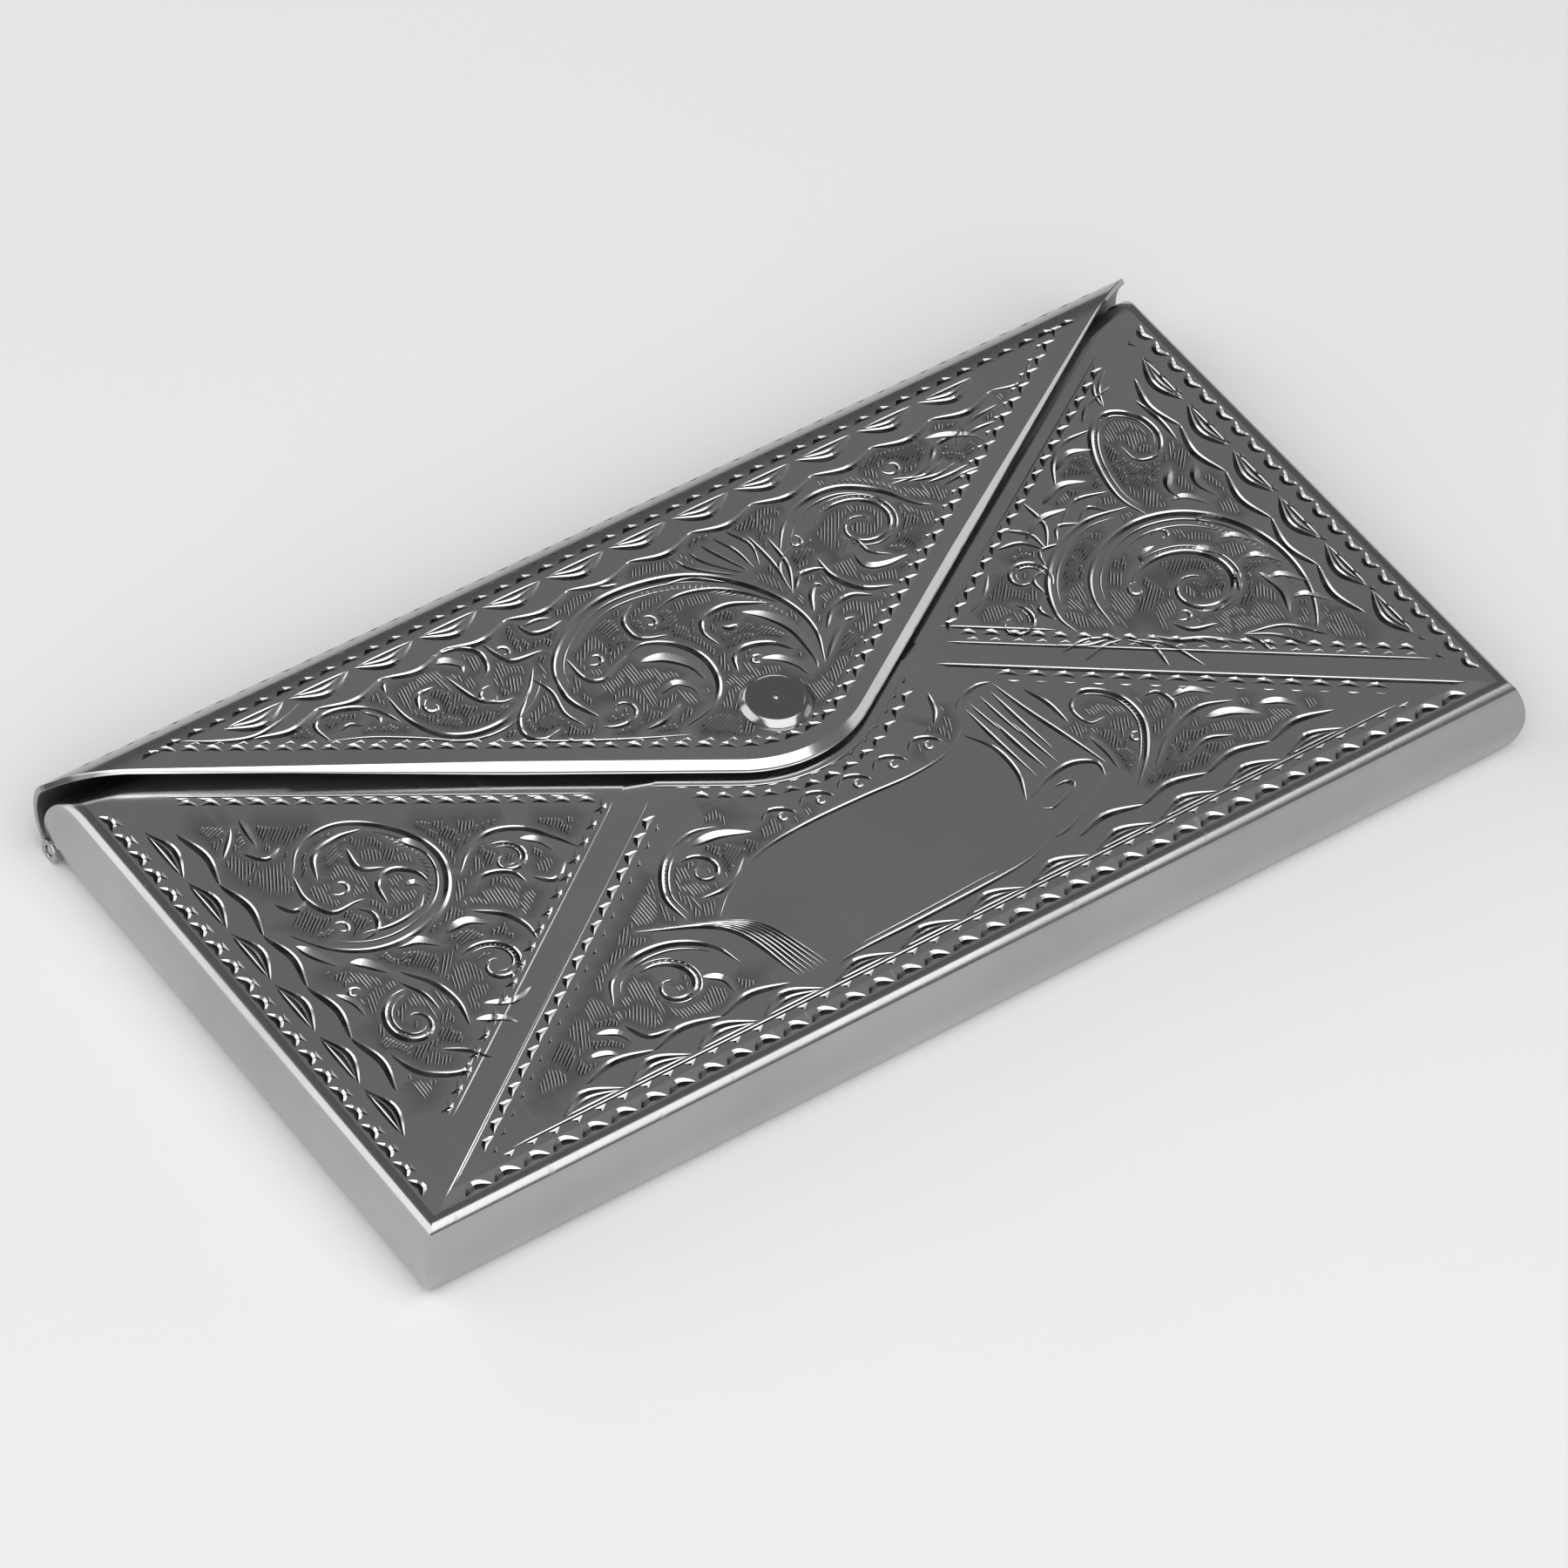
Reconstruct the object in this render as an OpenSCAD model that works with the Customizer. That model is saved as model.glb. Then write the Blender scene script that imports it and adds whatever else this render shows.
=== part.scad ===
// Envelope-shaped silver card case: a flat box with rounded rims and a hinged flap lid.
// X runs along the hinge, +Y points at the hinge, +Z is up; the origin is under the case's middle.
// Sizes are in millimetres.

/* [Case] */
// length along the hinge
case_l = 102; // [98:0.5:108]
// depth, front rim to the back of the lid's spine
case_d = 54; // [52:0.5:58]
// thickness of the body, without the lid
body_t = 7.5; // [7.4:0.1:8.4]
// how far the rounded rims stand out beyond the two plates
rim_bulge = 1.8; // [1.7:0.05:2.0]
// radius of the rims' upper and lower edges
rim_corner_r = 1; // [0.9:0.05:1.1]
// thickness of the silver sheet
sheet_t = 0.5; // [0.4:0.05:0.6]
// height of the front fold over the two side folds
fold_h = 0.25; // [0.1:0.05:0.35]
// width of the sloping band beside each fold seam
fold_band_w = 2.1; // [1.5:0.1:2.6]

/* [Lid] */
// space between the side folds and the underside of the flap
flap_gap = 1.1; // [0.9:0.05:1.3]
// Y of the flap's tip, inside the lip
flap_tip_y = -3.25; // [-4.5:0.05:-2]
// radius of the flap's rounded tip, inside the lip
flap_tip_r = 10.6; // [5.3:0.53:15.9]
// drop of the turned-down lip
lip_drop = 0.75; // [0.6:0.05:0.9]

/* [Hinge] */
// outer radius of the hinge tube
knuckle_r = 1; // [0.9:0.05:1.1]
// radius of the hinge pin
pin_r = 0.45; // [0.35:0.05:0.55]
// radial clearance round the pin
pin_gap = 0.04; // [0.02:0.01:0.08]
// space between neighbouring knuckles
knuckle_gap = 0.1; // [0.05:0.05:0.3]

/* [Snap] */
// Y of the seal, the stud and the socket
seal_y = 1.85; // [1:0.05:4]
// radius of the round seal on the flap
seal_r = 2.9; // [2.4:0.1:3.4]
// height of the seal
seal_h = 0.7; // [0.5:0.05:1]
// radius of the stud's ball
ball_r = 0.55; // [0.45:0.05:0.6]
// radius of the spring wires in the socket
wire_r = 0.15; // [0.1:0.01:0.18]
// inner radius of the socket's eyelet
eyelet_r = 1.15; // [1.1:0.05:1.25]

/* [Hidden] */
$fn = 96;
half_l = case_l / 2;
half_d = case_d / 2;
mid_z = body_t / 2;
plate_x = half_l - rim_bulge;             // side edges of both plates
plate_y = -half_d + rim_bulge;            // front edge of both plates
plate_z = body_t - sheet_t;               // underside of the front plate
flap_z = body_t + flap_gap;               // underside of the flap
flap_top = flap_z + sheet_t;

// rims: two corner arcs joined by one wide arc
corner_u = 0.2;
arc_r = (pow(rim_corner_r, 2) - pow(corner_u - rim_bulge, 2) - pow(mid_z - rim_corner_r, 2))
        / (2 * (corner_u - rim_bulge + rim_corner_r));
arc_a = asin((mid_z - rim_corner_r) / (arc_r - rim_corner_r));

// spine: the sheet wraps from the flap round the mouth to the hinge
spine_r = flap_top / 2;
spine_y = half_d - spine_r;
hinge_z = knuckle_r;
hinge_y = spine_y + sqrt(pow(spine_r - sheet_t / 2, 2) - pow(spine_r - hinge_z, 2));
nose_y = spine_y - 0.55;                  // centre of the body's rounded rear edge
mouth_a = 56;                             // where the front plate's rolled edge ends

// hinge: seven knuckles, body and lid in turn
knuckle_n = 7;
knuckle_l = case_l / knuckle_n;
swing_gap = 0.08;

// flap outline: the long edges rise 28 for every 45 across, so with a hypotenuse of 53 the
// tangent points of the rounded tip come out as short decimals
edge_run = 45;
edge_rise = 28;
edge_hyp = 53;
tip_cy = flap_tip_y + flap_tip_r;
lip_w = 0.53;                             // thickness of the turned-down lip along its edges

// fold seams on the front plate: crest line, then the foot of the sloping band
seam_slope = 0.7055;
seam_y = 9.3;
seam_a = atan(seam_slope);
panel_z = body_t + fold_h;

// snap
eyelet_wall = 0.25;
flange_r = eyelet_r + 0.85;
flange_t = 0.2;
cup_r = eyelet_r + eyelet_wall + 0.5;
cup_z = 6.25 + (body_t - 7.5);
ball_z = cup_z + 0.2 + 0.05 + ball_r;
wire_x = ball_r + 0.03 + wire_r;
wire_z = ball_z + 0.42;
shank_r = 0.5;

// ---- shared shapes ----

// extrude a (Y, Z) drawing along X
module along_x(l) {
    rotate([90, 0, 90]) linear_extrude(height = l, center = true) children();
}

// outside (inset 0) or inside (inset = sheet) of the rounded rim, as (outward, Z)
module rim_region(inset, back) {
    intersection() {
        union() {
            for (z = [rim_corner_r, body_t - rim_corner_r])
                translate([corner_u, z]) circle(r = rim_corner_r - inset);
            translate([-back, inset]) square([corner_u + back, body_t - 2 * inset]);
            intersection() {
                translate([rim_bulge - arc_r, mid_z]) circle(r = arc_r - inset, $fn = 360);
                polygon([[rim_bulge - arc_r, mid_z],
                         [rim_bulge - arc_r + 2 * arc_r * cos(arc_a), mid_z + 2 * arc_r * sin(arc_a)],
                         [rim_bulge - arc_r + 2 * arc_r * cos(arc_a), mid_z - 2 * arc_r * sin(arc_a)]]);
            }
        }
        translate([-back, -1]) square([rim_bulge + back + 1, body_t + 2]);
    }
}

// side view of the body with its rounded rear edge, as (Y, Z)
module nose_region(inset) {
    translate([-half_d - 1, inset]) square([nose_y + half_d + 1, body_t - 2 * inset]);
    translate([nose_y, mid_z]) circle(r = mid_z - inset);
}

module hinge_bar(r, x0, x1) {
    translate([x0, hinge_y, hinge_z]) rotate([0, 90, 0]) cylinder(h = x1 - x0, r = r);
}

function knuckle_x0(i) = -half_l + i * knuckle_l + (i > 0 ? knuckle_gap / 2 : 0);
function knuckle_x1(i) = -half_l + (i + 1) * knuckle_l - (i < knuckle_n - 1 ? knuckle_gap / 2 : 0);

// room for the hinge tube in one body's sheet: touching its own knuckles, clear of the others
module hinge_room(own) {
    hinge_bar(knuckle_r, -half_l - 1, half_l + 1);
    for (i = [0 : knuckle_n - 1]) if (i % 2 != own)
        hinge_bar(knuckle_r + swing_gap,
                  i == 0 ? -half_l - 1 : knuckle_x0(i) - knuckle_gap,
                  i == knuckle_n - 1 ? half_l + 1 : knuckle_x1(i) + knuckle_gap);
}

module knuckle(i) {
    difference() {
        hinge_bar(knuckle_r, knuckle_x0(i), knuckle_x1(i));
        hinge_bar(pin_r + pin_gap, knuckle_x0(i) - 1, knuckle_x1(i) + 1);
    }
}

// ---- case body ----

// block that shears off everything above a plane rising inwards from a line in the XY plane
module above_slope(line_y, dir, rise, run) {
    translate([0, line_y, body_t]) rotate([0, 0, dir]) rotate([atan(rise / run), 0, 0])
        translate([-120, -20, 0]) cube([240, 80, 20]);
}

// raised front fold: slopes down to the two side folds and to the rims
module fold_panel() {
    foot_y = seam_y + fold_band_w / cos(seam_a);
    difference() {
        translate([-plate_x + 0.1, plate_y + 0.1, plate_z + 0.1])
            cube([2 * plate_x - 0.2, foot_y - plate_y, sheet_t + fold_h - 0.1]);
        for (s = [-1, 1]) translate([0, foot_y, 0])
            rotate([0, 0, 180 + s * seam_a]) above_slope(0, 0, fold_h, fold_band_w);
        for (s = [-1, 1]) rotate([0, 0, s * 90]) above_slope(0.2 - plate_x, 0, fold_h, 1);
        above_slope(plate_y + 0.2, 0, fold_h, 1);
    }
}

module front_plate() {
    color([0.75, 0.75, 0.74]) difference() {
        union() {
            // flat sheet whose rear edge is rolled down along the mouth
            along_x(2 * plate_x) union() {
                translate([plate_y, plate_z]) square([nose_y - plate_y, sheet_t]);
                intersection() {
                    difference() {
                        translate([nose_y, mid_z]) circle(r = mid_z);
                        translate([nose_y, mid_z]) circle(r = mid_z - sheet_t);
                    }
                    polygon([[nose_y, mid_z], [nose_y, mid_z + 9],
                             [nose_y + 9 * cos(mouth_a), mid_z + 9 * sin(mouth_a)]]);
                }
            }
            fold_panel();
        }
        translate([0, seal_y, 0]) cylinder(h = 20, r = eyelet_r + eyelet_wall);
    }
}

module back_plate() {
    color([0.72, 0.72, 0.71]) difference() {
        translate([-plate_x, plate_y, 0]) cube([2 * plate_x, hinge_y - plate_y, sheet_t]);
        hinge_room(0);
    }
}

module front_rim() {
    color([0.8, 0.8, 0.79]) intersection() {
        along_x(case_l) translate([plate_y, 0]) mirror([1, 0]) difference() {
            rim_region(0, 0);
            rim_region(sheet_t, 0.1);
        }
        linear_extrude(height = 20) polygon([[-plate_x, plate_y], [-half_l, -half_d],
                                             [half_l, -half_d], [plate_x, plate_y]]);
    }
}

module side_rim() {
    difference() {
        intersection() {
            difference() {
                rotate([90, 0, 0]) linear_extrude(height = 2 * case_d, center = true)
                    translate([plate_x, 0]) rim_region(0, 0);
                intersection() {
                    rotate([90, 0, 0]) linear_extrude(height = 2 * case_d, center = true)
                        translate([plate_x, 0]) rim_region(sheet_t, 0.1);
                    along_x(2 * case_l) nose_region(sheet_t);
                }
            }
            along_x(2 * case_l) nose_region(0);
            linear_extrude(height = 20) polygon([[plate_x, plate_y], [half_l, -half_d],
                                                 [half_l, half_d], [plate_x, half_d]]);
        }
        hinge_bar(knuckle_r, -half_l - 1, half_l + 1);
    }
}

module right_rim() { color([0.8, 0.8, 0.79]) side_rim(); }
module left_rim() { color([0.8, 0.8, 0.79]) mirror([1, 0, 0]) side_rim(); }

module body_knuckle_1() { color([0.7, 0.7, 0.69]) knuckle(0); }
module body_knuckle_2() { color([0.7, 0.7, 0.69]) knuckle(2); }
module body_knuckle_3() { color([0.7, 0.7, 0.69]) knuckle(4); }
module body_knuckle_4() { color([0.7, 0.7, 0.69]) knuckle(6); }

// straight pin, ending just inside the end knuckles' faces
module hinge_pin() {
    color([0.6, 0.6, 0.6]) hinge_bar(pin_r, -half_l + 0.05, half_l - 0.05);
}

module wires() {
    for (s = [-1, 1])
        translate([s * wire_x, seal_y, wire_z]) rotate([90, 0, 0])
            cylinder(h = 2 * sqrt(pow(eyelet_r + eyelet_wall * 0.8, 2) - pow(wire_x, 2)),
                     r = wire_r, center = true);
}

module socket_eyelet() {
    color([0.85, 0.85, 0.84]) difference() {
        translate([0, seal_y, 0]) rotate_extrude() polygon([
            [eyelet_r, cup_z + 0.55], [eyelet_r + eyelet_wall, cup_z + 0.55],
            [eyelet_r + eyelet_wall, panel_z], [flange_r, panel_z],
            [flange_r, panel_z + flange_t * 0.5], [flange_r - 0.15, panel_z + flange_t],
            [eyelet_r + 0.15, panel_z + flange_t], [eyelet_r, panel_z + flange_t * 0.5]]);
        wires();
    }
}

module socket_cup() {
    color([0.7, 0.7, 0.69]) translate([0, seal_y, 0]) rotate_extrude() polygon([
        [0, cup_z], [cup_r, cup_z], [cup_r, plate_z], [cup_r - 0.2, plate_z],
        [cup_r - 0.2, cup_z + 0.2], [0, cup_z + 0.2]]);
}

module snap_spring() { color([0.5, 0.52, 0.55]) wires(); }

// ---- lid ----

// flap seen from above, grown outwards: straight edges and the round tip meet at a chord
module flap_outline(grow) {
    px = (flap_tip_r + grow) * edge_rise / edge_hyp;
    py = tip_cy - (flap_tip_r + grow) * edge_run / edge_hyp;
    polygon([[px, py], [px + 1.1 * edge_run, py + 1.1 * edge_rise],
             [-px - 1.1 * edge_run, py + 1.1 * edge_rise], [-px, py]]);
    intersection() {
        translate([0, tip_cy]) circle(r = flap_tip_r + grow, $fn = 240);
        translate([-half_l, py - 20]) square([case_l, 20]);
    }
}

// flat flap and the sheet wrapped round the mouth, as (Y, Z)
module lid_section() {
    translate([-half_d, flap_z]) square([half_d + spine_y, sheet_t]);
    intersection() {
        difference() {
            translate([spine_y, spine_r]) circle(r = spine_r, $fn = 180);
            translate([spine_y, spine_r]) circle(r = spine_r - sheet_t, $fn = 180);
        }
        polygon([[spine_y, spine_r], [spine_y, spine_r + 9], [spine_y + 9, spine_r + 9],
                 [spine_y + 9, hinge_z - 1], [hinge_y, hinge_z]]);
    }
}

module flap() {
    color([0.78, 0.78, 0.77]) difference() {
        union() {
            difference() {
                along_x(case_l) lid_section();
                // above mid-height the sheet follows the flap's outline
                difference() {
                    translate([-half_l - 1, -half_d - 1, spine_r])
                        cube([case_l + 2, case_d + 1, 20]);
                    linear_extrude(height = 40) flap_outline(lip_w);
                }
            }
            // lip turned down along the edges
            translate([0, 0, flap_top - lip_drop]) linear_extrude(height = lip_drop - sheet_t)
                intersection() {
                    difference() {
                        flap_outline(lip_w);
                        flap_outline(0);
                    }
                    translate([-half_l, -half_d]) square([case_l, half_d + spine_y - 1]);
                }
        }
        hinge_room(1);
        translate([0, seal_y, 0]) cylinder(h = 20, r = shank_r);
    }
}

module lid_knuckle_1() { color([0.7, 0.7, 0.69]) knuckle(1); }
module lid_knuckle_2() { color([0.7, 0.7, 0.69]) knuckle(3); }
module lid_knuckle_3() { color([0.7, 0.7, 0.69]) knuckle(5); }

// round seal with a bevelled rim, a dished top, a centre pip and a blind hole for the shank
module seal_cap() {
    color([0.82, 0.82, 0.81]) translate([0, seal_y, flap_top]) rotate_extrude() polygon([
        [shank_r, 0], [seal_r, 0], [seal_r, 0.18], [seal_r - 0.5, seal_h],
        [seal_r - 0.65, seal_h], [seal_r - 0.95, seal_h - 0.12], [0.3, seal_h - 0.12],
        [0.12, seal_h], [0, seal_h], [0, seal_h - 0.35], [shank_r, seal_h - 0.35]]);
}

module snap_stud() {
    color([0.72, 0.72, 0.71]) translate([0, seal_y, 0]) {
        cylinder_z(shank_r, flap_z - 0.1, flap_top + seal_h - 0.35);
        cylinder_z(1.5, flap_z - 0.25, flap_z);
        cylinder_z(ball_r * 0.62, ball_z, flap_z - 0.2);
        translate([0, 0, ball_z]) sphere(r = ball_r);
    }
}

module cylinder_z(r, z0, z1) {
    translate([0, 0, z0]) cylinder(h = z1 - z0, r = r);
}

front_plate();
back_plate();
front_rim();
left_rim();
right_rim();
body_knuckle_1();
body_knuckle_2();
body_knuckle_3();
body_knuckle_4();
hinge_pin();
socket_eyelet();
socket_cup();
snap_spring();
flap();
lid_knuckle_1();
lid_knuckle_2();
lid_knuckle_3();
seal_cap();
snap_stud();
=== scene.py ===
"""Looks of the engraved silver envelope card case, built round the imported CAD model.

Lengths in the drawing code are millimetres; the meshes are made in metres.
The engraving is real geometry: every graver cut is a V-groove let into the sheet.
"""

import math

import bmesh
import bpy
import numpy as np
from mathutils import Matrix, Vector
from mathutils.geometry import delaunay_2d_cdt


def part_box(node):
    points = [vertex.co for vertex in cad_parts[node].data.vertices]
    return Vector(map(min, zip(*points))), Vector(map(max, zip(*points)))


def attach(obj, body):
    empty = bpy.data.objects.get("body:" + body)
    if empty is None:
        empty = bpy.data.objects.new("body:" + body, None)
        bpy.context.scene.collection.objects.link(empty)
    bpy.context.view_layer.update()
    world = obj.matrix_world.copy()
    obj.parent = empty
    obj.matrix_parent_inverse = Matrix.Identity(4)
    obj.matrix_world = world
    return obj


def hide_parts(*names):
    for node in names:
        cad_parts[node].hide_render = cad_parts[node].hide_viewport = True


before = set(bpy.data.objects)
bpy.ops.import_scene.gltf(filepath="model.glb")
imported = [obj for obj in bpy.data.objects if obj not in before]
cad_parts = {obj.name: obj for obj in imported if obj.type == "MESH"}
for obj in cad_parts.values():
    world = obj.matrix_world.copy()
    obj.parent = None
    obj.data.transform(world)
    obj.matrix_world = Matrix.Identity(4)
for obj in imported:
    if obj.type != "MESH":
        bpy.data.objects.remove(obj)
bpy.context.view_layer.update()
MM = 0.001
rng = np.random.default_rng(7)


def box_mm(node):
    lo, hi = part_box(node)
    return np.array(lo) / MM, np.array(hi) / MM


# ---- sizes, read from the CAD nodes where they can be ----
plate_lo, plate_hi = box_mm("back_plate")
rim_hi = box_mm("front_rim")[1]
flap_hi = box_mm("flap")[1]
seal_lo, seal_hi = box_mm("seal_cap")
knuckle_lo, knuckle_hi = box_mm("body_knuckle_1")
eyelet_lo, eyelet_hi = box_mm("socket_eyelet")
cup_lo, cup_hi = box_mm("socket_cup")
stud_lo, stud_hi = box_mm("snap_stud")

HALF_L = rim_hi[0]
BODY_T = rim_hi[2]
MID_Z = BODY_T / 2
PLATE_X = plate_hi[0]
PLATE_Y = plate_lo[1]
SHEET = plate_hi[2]
FLAP_TOP = flap_hi[2]
SPINE_R = FLAP_TOP / 2
SPINE_Y = flap_hi[1] - SPINE_R
NOSE_Y = SPINE_Y - 0.55
HINGE_R = knuckle_hi[2] / 2
HINGE_Y = (knuckle_lo[1] + knuckle_hi[1]) / 2
SEAL_Y = (seal_lo[1] + seal_hi[1]) / 2
FOLD_H = 0.25
SEAM_SLOPE, SEAM_Y, BAND_W = 0.7055, 9.3, 2.1
EDGE_RUN, EDGE_RISE, EDGE_HYP = 45, 28, 53
TIP_R, TIP_CY = 10.6, 7.35
EYELET_R = cup_hi[0] - 0.5

# Directions in the plane of the plate. LEAN points towards the photograph's camera, BRIGHT further to
# the left, and DARK lies between them. They belong to the metal and stay when the view turns.
# A cut's valley moves away from DARK by its bias, which widens the wall that leans away from DARK.
# Walls that lean away from BRIGHT get painted shade, a darker colour as if lit from BRIGHT. The low point of
# a punched pit moves away from LEAN.
LEAN = np.array([-0.62, -0.785])
BRIGHT = np.array([-0.89, -0.45])
DARK = np.array([-0.773, -0.634])

DEEPEST, UNCUT = 0.2, 0.004       # deepest cut, and the depth below which the metal counts as uncut
GRID_CELL, GRID_FROM = 0.1, np.array([60, 35])   # map of what is already cut, and where it starts
LIP_RUN, LIP_GROW = 0.56, 0.53    # width of the flap's bevelled lip, and its reach past the tip arc
RIM_ROW, BORDER_PITCH = 48.95, 2.15
TUBE_BORE, PIN_R = 0.49, 0.45


# ---- drawing helpers ----

def resample(p, step):
    s = np.concatenate([[0], np.cumsum(np.hypot(*np.diff(p, axis=0).T))])
    t = np.linspace(0, s[-1], max(3, int(round(s[-1] / step)) + 1))
    return np.c_[np.interp(t, s, p[:, 0]), np.interp(t, s, p[:, 1])]


def curve(points, step=0.4):
    """A smooth curve through a few points."""
    p = np.array(points, float)
    e = np.vstack([2 * p[0] - p[1], p, 2 * p[-1] - p[-2]])
    t = np.linspace(0, 1, 14, endpoint=False)[:, None]
    out = []
    for a, b, c, d in zip(e, e[1:], e[2:], e[3:]):
        out.append(0.5 * (2 * b + (c - a) * t + (2 * a - 5 * b + 4 * c - d) * t**2
                          + (3 * b - a - 3 * c + d) * t**3))
    return resample(np.vstack(out + [p[-1:]]), step)


def normals(p):
    t = np.gradient(p, axis=0)
    t /= np.maximum(np.hypot(t[:, 0], t[:, 1]), 1e-9)[:, None]
    return np.c_[-t[:, 1], t[:, 0]]


def offset(p, d):
    return p + normals(p) * d


class Engraving:
    """Cuts, punched pits and guide lines for one sheet."""

    def __init__(self):
        self.cuts, self.pits, self.guides = [], [], []
        self.taken = np.zeros((2 * GRID_FROM / GRID_CELL).astype(int), bool)

    def cell_of(self, q):
        return ((q + GRID_FROM) / GRID_CELL).astype(int)

    def mark(self, p, r):
        """Notes that the metal within r of the points is cut, so that no hatching goes there."""
        k = int(math.ceil(r / GRID_CELL))
        for i, j in self.cell_of(p):
            self.taken[max(i - k, 0):i + k + 1, max(j - k, 0):j + k + 1] = True

    def cut(self, path, width=0.3, swell=0.5, sharp=0.55, deep=0.24, mark=0.12, bias=0.46, groove_tarnish_shade=0.0):
        """A V-cut along a path, widest at the fraction swell of its length, deep times as deep as wide."""
        p = np.array(path, float)
        t = np.linspace(0, 1, len(p))
        u = np.where(t < swell, t / max(swell, 1e-6), (1 - t) / max(1 - swell, 1e-6))
        w = width * np.sin(np.clip(u, 0, 1) * math.pi / 2) ** sharp
        n = normals(p)
        f = bias * (n @ DARK)
        valley = p - n * (0.5 * w * f)[:, None]
        left, right = (w * (0.6 + side + 0.4 * np.maximum(side, 0)) for side in (f, -f))
        # the last entry darkens the groove: tarnish plus painted shade
        self.cuts.append((valley, n, left, right, np.minimum(deep * w, DEEPEST), groove_tarnish_shade))
        if mark:
            self.mark(resample(p, 0.15), width / 2 + mark)

    def line(self, width, *points):
        """A smooth cut through a few points."""
        self.cut(curve(points), width)

    def pit(self, outline, middle, depth):
        self.pits.append((np.array(outline, float), np.array(middle, float), depth))

    def steps(self, path, pitch):
        """Start, end, direction and left-hand normal of each step along a path."""
        p = resample(np.array(path, float), pitch)
        for a, b in zip(p, p[1:]):
            d = (b - a) / np.hypot(*(b - a))
            shake = d * rng.uniform(-0.05, 0.05)
            yield a + shake, b + shake, d, np.array([-d[1], d[0]]) * rng.uniform(0.9, 1.08)

    def notches(self, path, pitch, long, high, deep=0.09):
        """A row of punched triangles on the left of a path, points away from it."""
        for a, b, d, n in self.steps(path, pitch):
            m = (a + b) / 2
            self.pit([m - d * long / 2, m + d * long / 2, m + d * long * 0.12 + n * high],
                     m + d * long * 0.06 + n * high * 0.42 - LEAN * 0.06, deep)
        self.mark(resample(np.array(path, float), 0.15), abs(high) * 0.8)

    def rope(self, path, pitch, long=0.9, high=0.66, deep=0.15):
        """A row of little gouged roofs on the left of a path: a bright cap over a dark hollow."""
        for a, b, d, n in self.steps(path, pitch):
            m, s = (a + b) / 2, pitch * long / 2
            self.pit([m - d * s, m - d * s * 0.2 + n * 0.04, m + d * s - n * 0.06,
                      m + d * s * 0.75 + n * high * 0.4, m + d * s * 0.1 + n * high,
                      m - d * s * 0.5 + n * high * 0.75],
                     m + d * s * 0.1 + n * high * 0.5 - LEAN * 0.14, deep)
        self.mark(resample(np.array(path, float), 0.15), high)

    def crescents(self, path, pitch, high, width=0.58):
        """A row of small arcs bulging to the left of a path, dark inside."""
        for a, b, d, n in self.steps(path, pitch):
            self.cut(curve([a + d * 0.12, (a + b) / 2 + n * high, b - d * 0.12], 0.3), width, 0.5, 0.6,
                     0.3, bias=0.3)

    def hatch(self, centre, size, angle, ring, gap=0.27, width=0.14):
        """Fine parallel cuts filling an oval patch inside ring, short of what is already cut."""
        a = math.radians(angle)
        d, n = np.array([math.cos(a), math.sin(a)]), np.array([-math.sin(a), math.cos(a)])
        rows, lines = int(size[1] / gap), []
        for v in np.arange(-rows, rows + 1) * gap:
            half = size[0] * math.sqrt(1 - (v / size[1]) ** 2) * (1 + rng.uniform(-0.12, 0.05))
            q = np.array(centre) + np.arange(-half, half, 0.1)[:, None] * d + n * v
            i, j = self.cell_of(q).T
            free = ~self.taken[i, j] & inside(q, ring)
            for start, end in runs(free):
                if end - start > 6:
                    lines.append((q[start], q[end - 1]))
        for a, b in lines:
            # hatch grooves are darkened: tarnish plus painted shade
            self.cut([a + (b - a) * f for f in (0, 0.25, 0.8, 1)], width * rng.uniform(0.8, 1.15),
                     0.5, 0.4, 0.36, mark=0, bias=0.1, groove_tarnish_shade=0.72)
        for a, b in lines:
            self.mark(resample(np.array([a, b]), 0.15), 0.09)

    def background(self, ring, keep=0.8, middle=55):
        """Patches of hatching over a panel, their angle wandering about a middle one."""
        ring = np.array(ring, float)
        lo, hi = ring.min(0), ring.max(0)
        for x in np.arange(lo[0], hi[0], 2.2):
            for y in np.arange(lo[1], hi[1], 1.9):
                c = [x + rng.uniform(-0.5, 0.5), y + rng.uniform(-0.5, 0.5)]
                if rng.random() < keep and inside(np.array([c]), ring)[0]:
                    self.hatch(c, (rng.uniform(1.6, 2.6), rng.uniform(1.1, 1.7)),
                               middle + 28 * math.sin(0.35 * x + 0.5 * y) + rng.uniform(-14, 14), ring)


def runs(flags):
    """Start and end of each run of true values."""
    edge = np.flatnonzero(np.diff(np.r_[0, np.asarray(flags, int), 0]))
    return list(zip(edge[::2], edge[1::2]))


def inside(q, ring):
    x, y = q[:, 0], q[:, 1]
    odd = np.zeros(len(q), bool)
    for (x0, y0), (x1, y1) in zip(ring, np.roll(ring, -1, axis=0)):
        if y0 == y1:
            continue
        hit = ((y0 > y) != (y1 > y)) & (x < (x1 - x0) * (y - y0) / (y1 - y0) + x0)
        odd ^= hit
    return odd


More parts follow.
